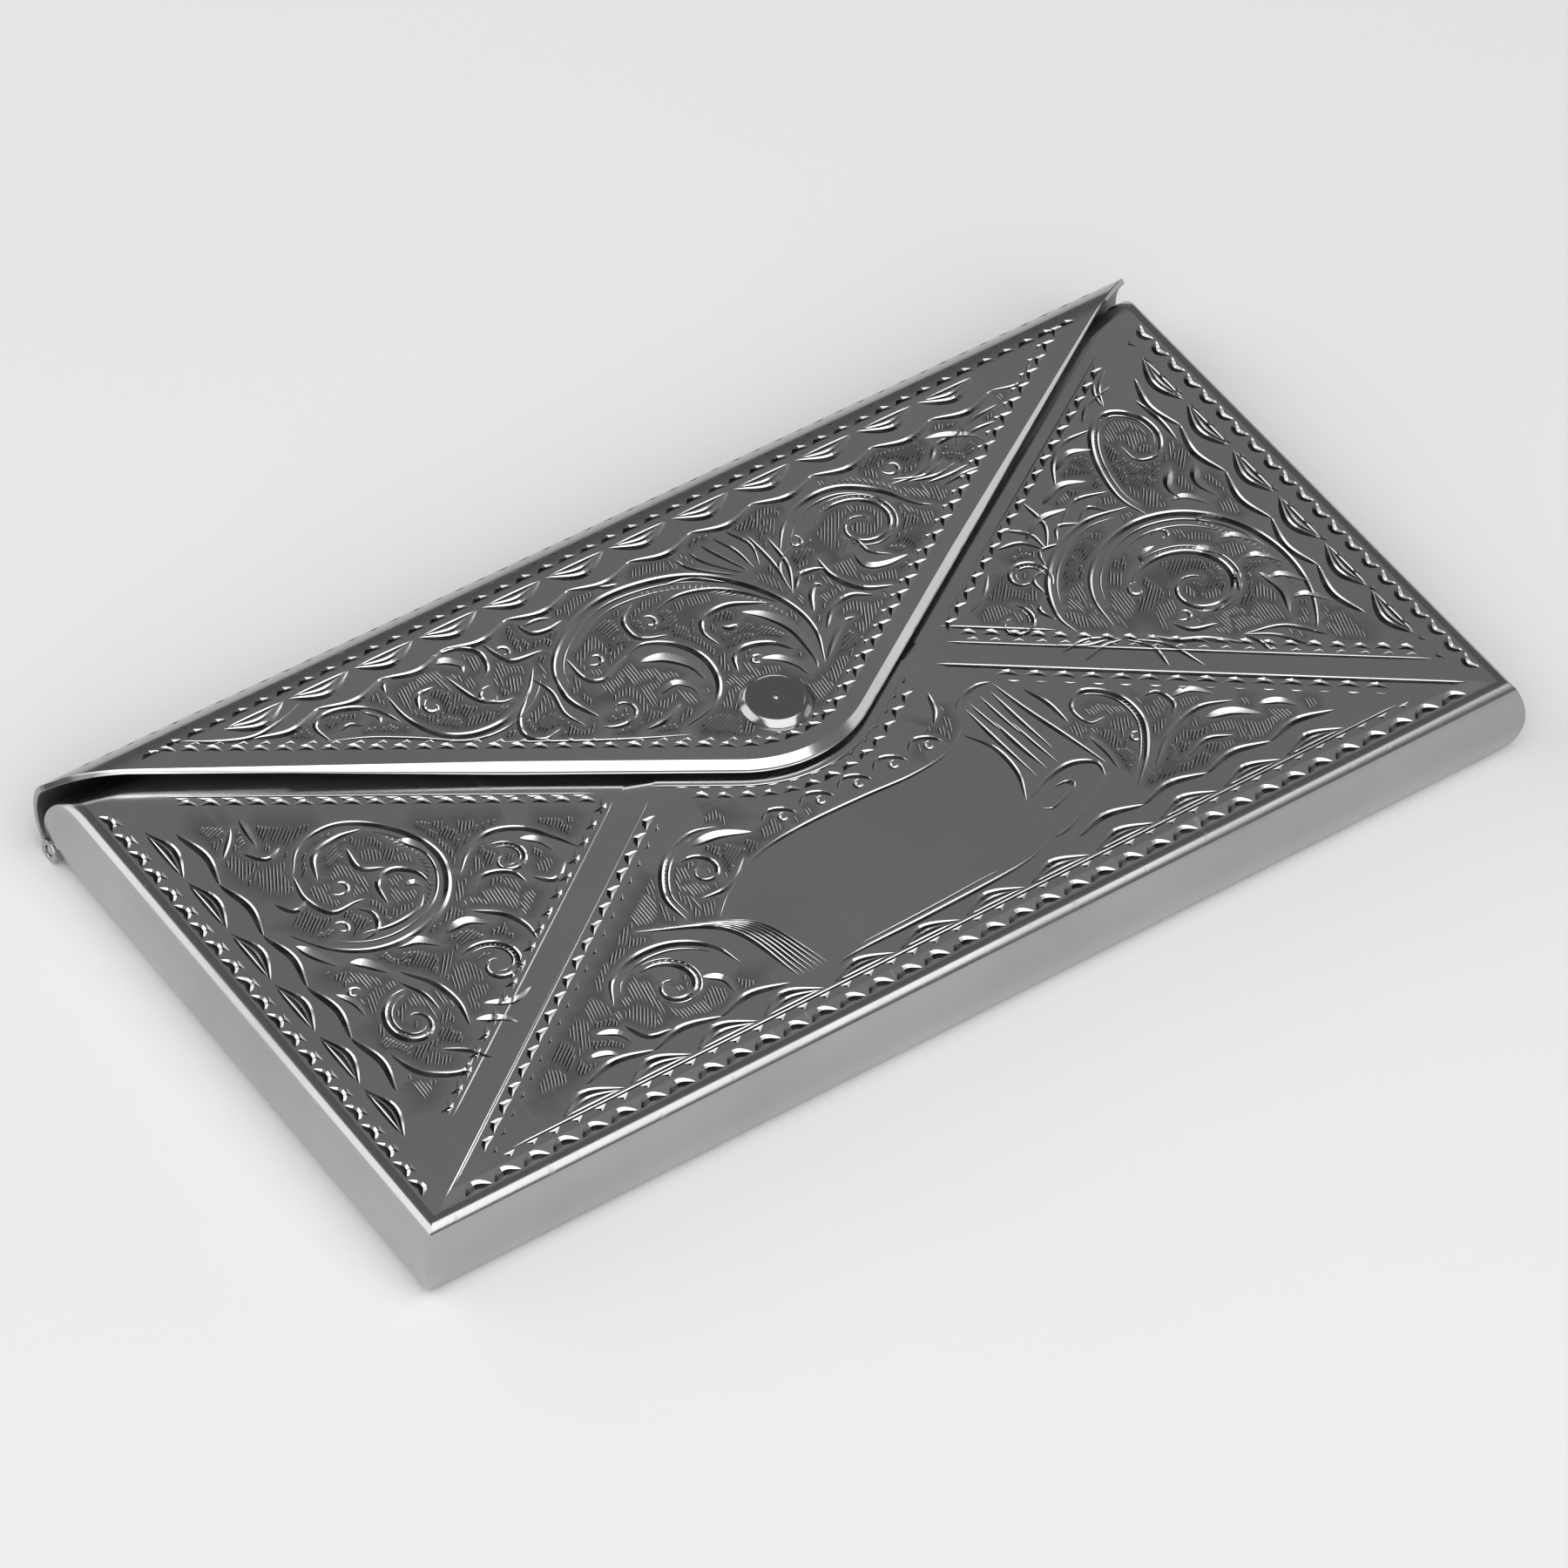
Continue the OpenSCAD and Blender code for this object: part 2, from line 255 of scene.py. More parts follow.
def cut_depth(v, work):
    """Depth of the engraving, and the tarnish plus painted shade in its grooves and pits, at each point."""
    depth, groove_tarnish_shade = np.zeros(len(v)), np.zeros(len(v))
    order = np.argsort(v[:, 0])
    xs = v[order, 0]

    def near(lo, hi):
        i, j = np.searchsorted(xs, [lo[0] - 1e-4, hi[0] + 1e-4])
        k = order[i:j]
        return k[(v[k, 1] >= lo[1] - 1e-4) & (v[k, 1] <= hi[1] + 1e-4)]

    for p, _, a, b, d, tarnish_and_shade in work.cuts:
        r = max(a.max(), b.max())
        k = near(p.min(0) - r, p.max(0) + r)
        if not len(k):
            continue
        s, e = p[:-1], np.diff(p, axis=0)
        w = v[k][:, None] - s[None]
        t = np.clip((w * e).sum(2) / np.maximum((e * e).sum(1), 1e-12), 0, 1)
        off = w - t[..., None] * e
        dist = np.hypot(off[..., 0], off[..., 1])
        m = dist.argmin(1)
        row = np.arange(len(k))
        tm, dm = t[row, m], dist[row, m]
        side = e[m, 0] * off[row, m, 1] - e[m, 1] * off[row, m, 0]
        half = np.where(side > 0, a[m] + (a[m + 1] - a[m]) * tm, b[m] + (b[m + 1] - b[m]) * tm)
        full = d[m] + (d[m + 1] - d[m]) * tm
        depth[k] = np.maximum(depth[k], full * np.clip(1 - dm / np.maximum(half, 1e-4), 0, 1))
        # darkening inside the groove: tarnish plus painted shade
        if tarnish_and_shade:
            groove_tarnish_shade[k] = np.maximum(groove_tarnish_shade[k], tarnish_and_shade * (dm < half + 1e-3))
    for ring, mid, d in work.pits:
        k = near(ring.min(0), ring.max(0))
        for p, q in zip(ring, np.roll(ring, -1, axis=0)):
            m = np.array([mid - p, q - p]).T
            det = m[0, 0] * m[1, 1] - m[0, 1] * m[1, 0]
            if abs(det) < 1e-9 or not len(k):
                continue
            w = v[k] - p
            s = (w[:, 0] * m[1, 1] - w[:, 1] * m[0, 1]) / det
            t = (m[0, 0] * w[:, 1] - m[1, 0] * w[:, 0]) / det
            ok = (s > -1e-6) & (t > -1e-6) & (s + t < 1 + 1e-6)
            depth[k[ok]] = np.maximum(depth[k[ok]], d * s[ok])
            # the inner half of each pit is darkened: tarnish plus painted shade
            groove_tarnish_shade[k[ok]] = np.maximum(groove_tarnish_shade[k[ok]], 0.5 * (s[ok] > 0.5))
    depth[depth < UNCUT] = 0
    return depth, groove_tarnish_shade


def triangulate(outline, holes, work):
    """Constrained triangles of a sheet with its cuts. Returns points, triangles, loops."""
    verts, edges = [], []

    def add(chain, closed=False):
        base = len(verts)
        verts.extend(map(tuple, chain))
        edges.extend((base + i, base + i + 1) for i in range(len(chain) - 1))
        if closed:
            edges.append((base + len(chain) - 1, base))
        return range(base, base + len(chain))

    loops = [add(outline, True)] + [add(h, True) for h in holes]
    for g in work.guides:
        add(g)
    for p, n, a, b, _, _ in work.cuts:
        c = add(p)
        for q in (p + n * a[:, None], p - n * b[:, None]):
            k = add(q[1:-1])
            edges.extend([(c[0], k[0]), (k[-1], c[-1])])
    for ring, mid, _ in work.pits:
        k = add(ring, True)
        m = add([mid])
        edges.extend((m[0], i) for i in k)
    out = delaunay_2d_cdt([Vector(p) for p in verts], edges, [], 0, 1e-5)
    v = np.array([tuple(p) for p in out[0]])
    where = {}
    for i, src in enumerate(out[3]):
        for j in src:
            where[j] = i
    t = np.array([f[:3] for f in out[2] if len(f) == 3])
    c = v[t].mean(1)
    keep = inside(c, np.array(outline))
    for h in holes:
        keep &= ~inside(c, np.array(h))
    t = t[keep]
    a, b, c = v[t[:, 0]], v[t[:, 1]], v[t[:, 2]]
    area = (b[:, 0] - a[:, 0]) * (c[:, 1] - a[:, 1]) - (b[:, 1] - a[:, 1]) * (c[:, 0] - a[:, 0])
    t[area < 0] = t[area < 0][:, ::-1]
    return v, t, [[where[j] for j in k] for k in loops]


def finish_mesh(name, pos, faces, crease=14.0, marks=None, face_marks=None):
    """Object from points (mm) and faces, smooth except at edges sharper than crease degrees."""
    me = bpy.data.meshes.new(name)
    me.from_pydata((np.asarray(pos) * MM).tolist(), [], [list(map(int, f)) for f in faces])
    for kind, given in (("POINT", marks), ("FACE", face_marks)):
        for key, values in (given or {}).items():
            at = me.attributes.new(key, "FLOAT", kind)
            at.data.foreach_set("value", np.asarray(values, np.float32))
    bm = bmesh.new()
    bm.from_mesh(me)
    loose = [v for v in bm.verts if not v.link_faces]
    bmesh.ops.delete(bm, geom=loose, context="VERTS")
    limit = math.radians(crease)
    for f in bm.faces:
        f.smooth = True
    for e in bm.edges:
        e.smooth = not (len(e.link_faces) == 2 and e.calc_face_angle(0) > limit)
    bm.to_mesh(me)
    bm.free()
    me.validate()
    ob = bpy.data.objects.new(name, me)
    bpy.context.collection.objects.link(ob)
    return ob


def make_sheet(name, outline, holes, work, surface, rings, thickness, crease=14.0):
    """A closed sheet: engraved top, plain underside, and edges that follow rings.

    surface(u, v, down) gives the place of a drawing point, down mm below the top.
    rings(points, outward) gives, per edge ring, how far out and how far down it lies.
    """
    top_v, top_t, loops = triangulate(outline, holes, work)
    depth, groove_tarnish_shade = cut_depth(top_v, work)
    low = Engraving()
    low.guides = work.guides
    bot_v, bot_t, low_loops = triangulate(outline, holes, low)
    pos = [surface(top_v[:, 0], top_v[:, 1], depth),
           surface(bot_v[:, 0], bot_v[:, 1], np.full(len(bot_v), thickness))]
    mark, tarnish_and_shade = [depth, np.zeros(len(bot_v))], [groove_tarnish_shade, np.zeros(len(bot_v))]
    base = len(top_v)
    faces = [top_t, bot_t[:, ::-1] + base]
    count = base + len(bot_v)
    for k, (up, down) in enumerate(zip(loops, low_loops)):
        p = top_v[up]
        e = np.roll(p, -1, axis=0) - np.roll(p, 1, axis=0)
        e /= np.hypot(e[:, 0], e[:, 1])[:, None]
        turn = 1 if (p[:, 0] * np.roll(p[:, 1], -1) - p[:, 1] * np.roll(p[:, 0], -1)).sum() > 0 else -1
        out = np.c_[e[:, 1], -e[:, 0]] * turn * (1 if k == 0 else -1)
        ring_ids = [np.array(up)]
        for o, d in (rings(p, out) if k == 0 else []):
            q = p + out * o[:, None]
            pos.append(surface(q[:, 0], q[:, 1], d))
            mark.append(np.zeros(len(p)))
            tarnish_and_shade.append(np.zeros(len(p)))
            ring_ids.append(np.arange(count, count + len(p)))
            count += len(p)
        ring_ids.append(np.array(down) + base)
        for a, b in zip(ring_ids, ring_ids[1:]):
            a1, b1 = np.roll(a, -1), np.roll(b, -1)
            faces.append(np.c_[a, b, b1, a1] if turn * (1 if k == 0 else -1) > 0
                         else np.c_[a, a1, b1, b])
    # painted shade: walls that lean away from the bright side get a darker colour (the dark attribute)
    a, b, c = (np.c_[top_v, -depth][top_t[:, i]] for i in range(3))
    n = np.cross(b - a, c - a)
    n /= np.maximum(np.linalg.norm(n, axis=1), 1e-12)[:, None]
    tilt = np.hypot(n[:, 0], n[:, 1])
    dark = np.zeros(sum(len(f) for f in faces))
    dark[:len(top_t)] = np.clip(0.2 - n[:, :2] @ BRIGHT / np.maximum(tilt, 1e-9) * 2.2, 0, 1) * \
        (tilt > 0.03) * (depth[top_t].max(1) > UNCUT)
    # cut is the depth; the second mark is tarnish plus painted shade in grooves and pits
    marks = {"cut": np.concatenate(mark), "groove_tarnish_shade": np.concatenate(tarnish_and_shade)}
    # spine: painted shade, darker colour over the rolled spine beyond SPINE_Y
    marks["spine"] = np.clip((np.vstack(pos)[:, 1] - SPINE_Y) / 1.2, 0, 1)
    marks["inner"] = np.zeros(count)
    marks["inner"][base:base + len(bot_v)] = 1
    return finish_mesh(name, np.vstack(pos), [f for group in faces for f in group],
                       crease, marks, {"dark": dark})


# ---- ornament ----

def spiral(c, r0, r1, a0, a1, flat=1.0, tilt=0.0, step=0.35):
    """Path about c that goes from radius r0 at angle a0 to radius r1 at angle a1."""
    t = np.linspace(0, 1, 60)
    r = r0 * (r1 / r0) ** t
    a = np.radians(a0 + (a1 - a0) * t)
    x, y = r * np.cos(a), flat * r * np.sin(a)
    k = math.radians(tilt)
    return resample(np.c_[c[0] + x * math.cos(k) - y * math.sin(k),
                          c[1] + x * math.sin(k) + y * math.cos(k)], step)


def part(p, f0, f1):
    return p[int(f0 * (len(p) - 1)):int(f1 * (len(p) - 1)) + 1]


def comma(w, points, width=0.7):
    """A fat leaf-shaped cut, mostly bright, with a dark line under it."""
    p = curve(points, 0.3)
    w.cut(p, width, 0.35, 0.7, 0.26, bias=-0.05)


def eye(w, c, r, a0, hand=1):
    """A small tight curl with a bright dot."""
    w.cut(spiral(c, r * 1.25, r * 0.4, a0, a0 + hand * 300, step=0.22), 0.3, 0.55, 0.7, 0.26, bias=0.2)


def shades(w, path, gap, f0, f1, length, lean=0.5, width=0.14):
    """Short curved cuts standing on one side of a path."""
    p = resample(part(path, f0, f1), gap)
    n, t = normals(p), np.gradient(p, axis=0)
    t /= np.maximum(np.hypot(t[:, 0], t[:, 1]), 1e-9)[:, None]
    for k in range(1, len(p) - 1):
        s = length * math.sin(math.pi * k / (len(p) - 1)) ** 0.6 * rng.uniform(0.85, 1.1)
        a = p[k] + n[k] * math.copysign(0.16, length)
        w.cut(np.array([a, a + (n[k] * 0.5 + t[k] * lean * 0.15) * s,
                        a + (n[k] + t[k] * lean * abs(1)) * s]), width, 0.2, 0.6, 0.42, mark=0.03)


def ribbon(w, path, gap, width=0.34, inner=0.2):
    """A bright contour with a thin second line beside it and shading between the two."""
    w.cut(path, width, 0.45, 0.5)
    side = part(offset(path, gap), 0.06, 0.8)
    w.cut(side, inner, 0.6)
    shades(w, path, 0.42, 0.1, 0.6, gap * 0.62, 0.8, 0.12)


def lobes(w, path, f0, f1, count, size, width=0.26):
    """Scalloped leaf edge: a run of small arcs standing on a path."""
    q = resample(part(path, f0, f1), 0.1)
    at = np.linspace(0, len(q) - 1, count + 1).astype(int)
    n = normals(q)
    for i, j in zip(at, at[1:]):
        m = (i + j) // 2
        w.cut(curve([q[i], q[m] + n[m] * size, q[j] + n[j] * size * 0.25], 0.3), width, 0.5)


def leaves(w, path, pitch, size, rows=2, width=0.3):
    """A border of pointed leaves: a straight back and a few nested bellies on its left."""
    p = resample(np.array(path, float), pitch)
    for a, b in zip(p, p[1:]):
        d = (b - a) / np.hypot(*(b - a))
        n = np.array([-d[1], d[0]])
        f = rng.uniform(0.93, 1.05)
        for k in range(rows):
            h = size * (1 - k / rows) * f
            s, e = a + (b - a) * (0.05 + 0.07 * k), a + (b - a) * (0.97 - 0.06 * k)
            w.cut(curve([s, (s + e) / 2 + n * h - d * 0.1, e], 0.45),
                  width * (1.7 if k == 0 else 1.1), 0.5, 0.6, 0.24, bias=0.45 if k == 0 else 0.3)
        w.cut(resample(np.array([a + (b - a) * 0.08, b - (b - a) * 0.08]), 0.6), 0.26, 0.5, 0.4)


def scallops(w, path, pitch, size, width=0.5):
    """A chain of shallow arcs bulging to the left of a path."""
    p = resample(np.array(path, float), pitch)
    for a, b in zip(p, p[1:]):
        d = (b - a) / np.hypot(*(b - a))
        n = np.array([-d[1], d[0]])
        w.cut(curve([a - d * 0.1, (a + b) / 2 + n * size, b + d * 0.15], 0.5), width, 0.45, 0.5)


def spray(w, root, tips, width=0.3):
    """Curved blades from one root."""
    for x, y, bend in tips:
        root_, tip = np.array(root, float), np.array([x, y], float)
        mid = (root_ + tip) / 2 + np.array([-(tip - root_)[1], (tip - root_)[0]]) * bend
        w.cut(curve([root_, mid, tip], 0.35), width, 0.65, 0.6)


def draw_flap(w):
    # rows of punch marks along the spine, then the leaf border
    w.notches([(44, 24.3), (-44, 24.3)], 2.0, 1.2, 0.4)
    w.rope([(-44, 22.75), (44, 22.75)], 2.0)
    w.notches([(48, 26.2), (-48, 26.2)], 2.0, 1.2, 0.5)
    w.cut(curve([(-47, 26.4), (0, 26.4), (47, 26.4)], 1.6), 0.22, 0.5, 0.05)
    leaves(w, [(33.5, 22.1), (-37.2, 22.1)], 6.0, 1.15)
    scallops(w, [(33.5, 20.1), (-35.5, 20.1)], 6.0, 0.85)
    w.line(0.34, (-40.5, 22.9), (-38.2, 21.4), (-35.6, 20.3), (-33, 20.5), (-30.6, 21.3))
    w.line(0.3, (33.5, 20.1), (36, 19.6), (38.2, 21.2))
    # rows along both edges and round the tip
    for inset in (1.35, 2.05):
        r = TIP_R - inset
        a = math.atan2(EDGE_RUN, EDGE_RISE)
        arc = [(r * math.sin(k), TIP_CY - r * math.cos(k))
               for k in np.linspace(-(math.pi / 2 - a), math.pi / 2 - a, 15)]
        reach = 38.6 - inset * 0.6
        left = (arc[0][0] - reach, arc[0][1] + reach * EDGE_RISE / EDGE_RUN)
        right = (arc[-1][0] + reach, arc[-1][1] + reach * EDGE_RISE / EDGE_RUN)
        if inset < 2:
            w.rope([left] + arc + [right], 1.78)
        else:
            w.notches([left] + arc + [right], 1.78, 0.8, 0.32)
    w.cut(curve([(-20, 9.7), (-14, 6.1), (-10, 3.9), (-7.2, 2.5)], 0.8), 0.22, 0.4)
    # central scroll
    outer = curve([(-13.2, 9.2), (-12.6, 13.4), (-10, 16.2), (-6, 17.9), (-2, 17.8), (2, 16.4),
                   (5, 13.6), (6.8, 10), (7, 6.6), (5.6, 3.2)])
    w.cut(outer, 0.5, 0.55, 0.5)
    w.cut(part(offset(outer, -0.75), 0.08, 0.62), 0.2)
    w.cut(part(offset(outer, -1.35), 0.2, 0.55), 0.16)
    shades(w, offset(outer, -0.8), 0.5, 0.45, 0.85, -0.9, 0.9)
    w.cut(curve([(-6.8, 12), (-5, 12.3), (-2.9, 10.9), (-1.9, 8.6), (-2.4, 6), (-4.2, 4.2), (-7.4, 3.4)]),
          0.46, 0.45)
    w.line(0.36, (-11, 14.2), (-10.9, 11.8), (-9.8, 10.9), (-8.2, 11.5), (-6.8, 12))
    w.line(0.4, (-13, 12.6), (-13.1, 10.4), (-12.2, 7.8))
    w.cut(spiral((-10.4, 7.6), 2.3, 0.35, 200, 560, 0.85), 0.32, 0.3)
    eye(w, (-9.1, 13), 0.62, 200)
    eye(w, (-3.4, 13.9), 0.6, 100, -1)
    w.line(0.34, (-3.4, 16.3), (-5, 15.2), (-5.2, 13.4), (-4.4, 12.6), (-3, 12.1))
    w.line(0.34, (-2.6, 14.6), (0, 15.1), (2.6, 14.3), (4.6, 12.6), (6.2, 10.3))
    w.line(0.3, (-0.5, 16.6), (2, 16), (4.2, 14))
    comma(w, [(-6.4, 10.9), (-4.6, 10.2), (-3.3, 8.5), (-3.2, 6.6)], 0.85)
    comma(w, [(-7, 7.2), (-5.4, 7.6), (-4.5, 6.6), (-4.5, 5.5)], 0.55)
    w.line(0.42, (-10, 4.8), (-8, 4.9), (-6.2, 5.6))
    w.line(0.42, (-0.2, 9.1), (-0.5, 10.8), (0.4, 12.1), (2.6, 12.3), (4.6, 11.3), (5.6, 10.6))
    w.cut(curve([(1, 10.6), (1.5, 10.2), (2.2, 10.1)], 0.2), 0.42)
    comma(w, [(3.2, 11), (4.6, 9.6), (5.5, 7.4), (5.3, 4.4), (4.8, 3)], 0.8)
    w.line(0.46, (-0.6, 6), (0.1, 7.5), (1.6, 7.9), (3.4, 7.1), (4.4, 5.6))
    comma(w, [(1.7, 6.2), (3, 5.3), (3.7, 4), (3.8, 2.6)], 0.6)
    eye(w, (1.3, 6.2), 0.5, 20)
    for k in range(5):
        x = 2 + 1.25 * k
        blade = curve([(x, 18.4 + 0.1 * k), (x + 0.5 + 0.1 * k, 17 - 0.1 * k), (5.2 + 0.5 * k, 14.3)])
        w.cut(blade, 0.26, 0.3)
    # sprays from the central scroll to the right one
    spray(w, (7.6, 10.4), [(9.4, 16.4, -0.1), (8.2, 17.4, -0.05), (11.5, 15, 0.22)], 0.3)
    w.line(0.42, (8, 10.6), (9.2, 11.8), (10.4, 11.8), (11.3, 11.4))
    w.line(0.4, (7.9, 8), (8.8, 9.6), (9.8, 10.4), (10.1, 9.8))
    w.line(0.42, (7.6, 5.9), (9.4, 7.6), (11.4, 8), (13, 6.9))
    w.line(0.42, (5.8, 3.3), (7.8, 5), (9.4, 6), (10.3, 5.9))
    # right scroll
    big = curve([(9.3, 14.6), (11.4, 17), (14.2, 18.2), (17.2, 18), (19.8, 16), (21.3, 13.4), (22.4, 12.4)])
    w.cut(big, 0.46, 0.6)
    w.cut(part(offset(big, -0.8), 0.1, 0.8), 0.2)
    ribbon(w, spiral((16.4, 13.6), 3.9, 0.9, 150, -350, 0.9), 0.5, 0.34)
    w.line(0.44, (11.4, 12.6), (11.4, 10.4), (12.6, 8.2), (14.8, 7))
    comma(w, [(14.1, 11.5), (14.2, 9.9), (15.6, 9.2), (17.6, 9.1)], 0.6)
    w.line(0.28, (13.2, 11.8), (15, 12.8), (15.3, 11), (16.6, 9.8))
    eye(w, (10.9, 14.9), 0.6, 60, -1)
    shades(w, big, 0.45, 0.5, 0.9, 0.8, -0.5)
    for k in range(4):
        w.line(0.3, (21.2 + k, 16.4 - 0.9 * k), (23.5 + k, 15.4 - 0.5 * k),
               (25.8 + 0.7 * k, 15.9 - 0.7 * k))
    eye(w, (22, 17.5), 0.75, 180)
    w.line(0.38, (20.8, 16), (23, 15.7), (25, 16.4), (26.4, 17.6), (28.6, 17.8), (30.4, 18.6))
    comma(w, [(26, 18.6), (27.7, 18), (29.4, 16.9), (29.9, 15.6)], 0.55)
    spray(w, (27.5, 16.5), [(31.5, 19, 0.1), (33, 18.6, 0.12), (31.9, 17.2, 0.1)], 0.28)
    # left scroll and the leaf beyond it
    left = curve([(-24.7, 18.4), (-24.6, 15.6), (-23.4, 13), (-21.2, 11.6), (-18.2, 11.5), (-15.4, 12.9),
                  (-13.6, 14.8)])
    w.cut(left, 0.46, 0.5)
    w.cut(part(offset(left, -0.7), 0.3, 0.95), 0.2)
    w.line(0.4, (-19.6, 19.9), (-17.4, 19.6), (-16.2, 18.4), (-16.6, 16.6), (-17.8, 15.8))
    comma(w, [(-19.9, 19.2), (-18.9, 18.9), (-18.2, 18), (-18.4, 17.2)], 0.65)
    w.line(0.36, (-23.4, 15.8), (-22.6, 17.1), (-21.2, 17.2))
    eye(w, (-22.3, 15.5), 0.7, 90)
    eye(w, (-18, 14), 0.9, 60)
    w.line(0.34, (-19.8, 17.6), (-19.4, 15.6), (-18.9, 14.2), (-17.6, 13.1), (-16.6, 13))
    w.line(0.36, (-24.6, 18.6), (-24.2, 19.5), (-23, 19.9))
    w.line(0.38, (-15.6, 19), (-15, 17), (-14.4, 16.2), (-12, 15.9))
    eye(w, (-14.6, 17.3), 0.6, 160, -1)
    w.line(0.38, (-12.2, 19.2), (-11.7, 17.9), (-10.4, 17.5), (-9, 17.7))
    w.line(0.3, (-12, 18.8), (-10.6, 18.8), (-9.6, 18.4))
    w.line(0.36, (-4.9, 19.3), (-4, 18.8), (-3.2, 18.6))
    w.line(0.3, (-14.4, 13.9), (-13.8, 12), (-14.2, 9.6), (-13.6, 7.6))
    w.line(0.34, (-15.6, 12.6), (-17.4, 11), (-18, 9.4), (-17, 8.2), (-15.4, 8.4))
    leaf = curve([(-30.8, 16.6), (-31, 18.6), (-29.6, 19.3), (-27.6, 18.8), (-26, 17.4), (-25.2, 15.4)])
    w.cut(leaf, 0.42)
    comma(w, [(-27.2, 18.2), (-26.4, 17), (-26.6, 16.2)], 0.5)
    w.line(0.28, (-29.8, 17.2), (-28.6, 17.4), (-27.8, 16.6))
    w.line(0.22, (-31, 16.8), (-28, 15.4), (-25, 13.4), (-22, 11.2), (-19, 10.6))
    w.background([(-36, 19.6), (-8, 2), (-3, -0.3), (3, -0.3), (8, 2), (36, 19.6), (0, 19.4)])


def edge_y(x, out):
    """Y of a line that runs beside the closed flap's edge, out mm outside its lip."""
    r = TIP_R + 0.55 + out
    px = r * EDGE_RISE / EDGE_HYP
    x = np.asarray(x, float)
    return np.where(np.abs(x) > px,
                    TIP_CY - r * EDGE_RUN / EDGE_HYP + (np.abs(x) - px) * EDGE_RISE / EDGE_RUN,
                    TIP_CY - np.sqrt(np.maximum(r * r - x * x, 0)))


def beside_flap(x0, x1, out):
    x = np.linspace(x0, x1, 30)
    return np.c_[x, edge_y(x, out)]


def seam(x0, x1, s, out):
    """Line along the fold seam, out mm outside its crest; s is -1 left, 1 right."""
    x = np.array([x0, x1], float)
    return np.c_[x, SEAM_Y - SEAM_SLOPE * s * x + out * math.hypot(1, SEAM_SLOPE)]


def side_border(w, s):
    """The rows along the left (s = -1) or right (s = 1) rim, and the two beside the flap."""
    def inner(x, low, high):
        return [(s * x, low), (s * x, high)][::s]
    w.crescents(inner(RIM_ROW, -23.4, 21), BORDER_PITCH, 0.55)
    w.notches([(s * 47.6 - 0.3, -21.6), (s * 47.6 - 0.3, 20.6)], BORDER_PITCH, 1.1, 0.55)
    leaves(w, inner(46.9, -18, 18), 6.0, 1.0)
    scallops(w, inner(45, -13.8, 16.2), 6.0, 0.8)
    near, far = sorted((s * 16.4, s * 43.5))
    w.rope(beside_flap(near, far, 2.2), 1.8)
    w.notches(beside_flap(near, far, 1.45)[::-1], 1.8, 1.0, 0.34)


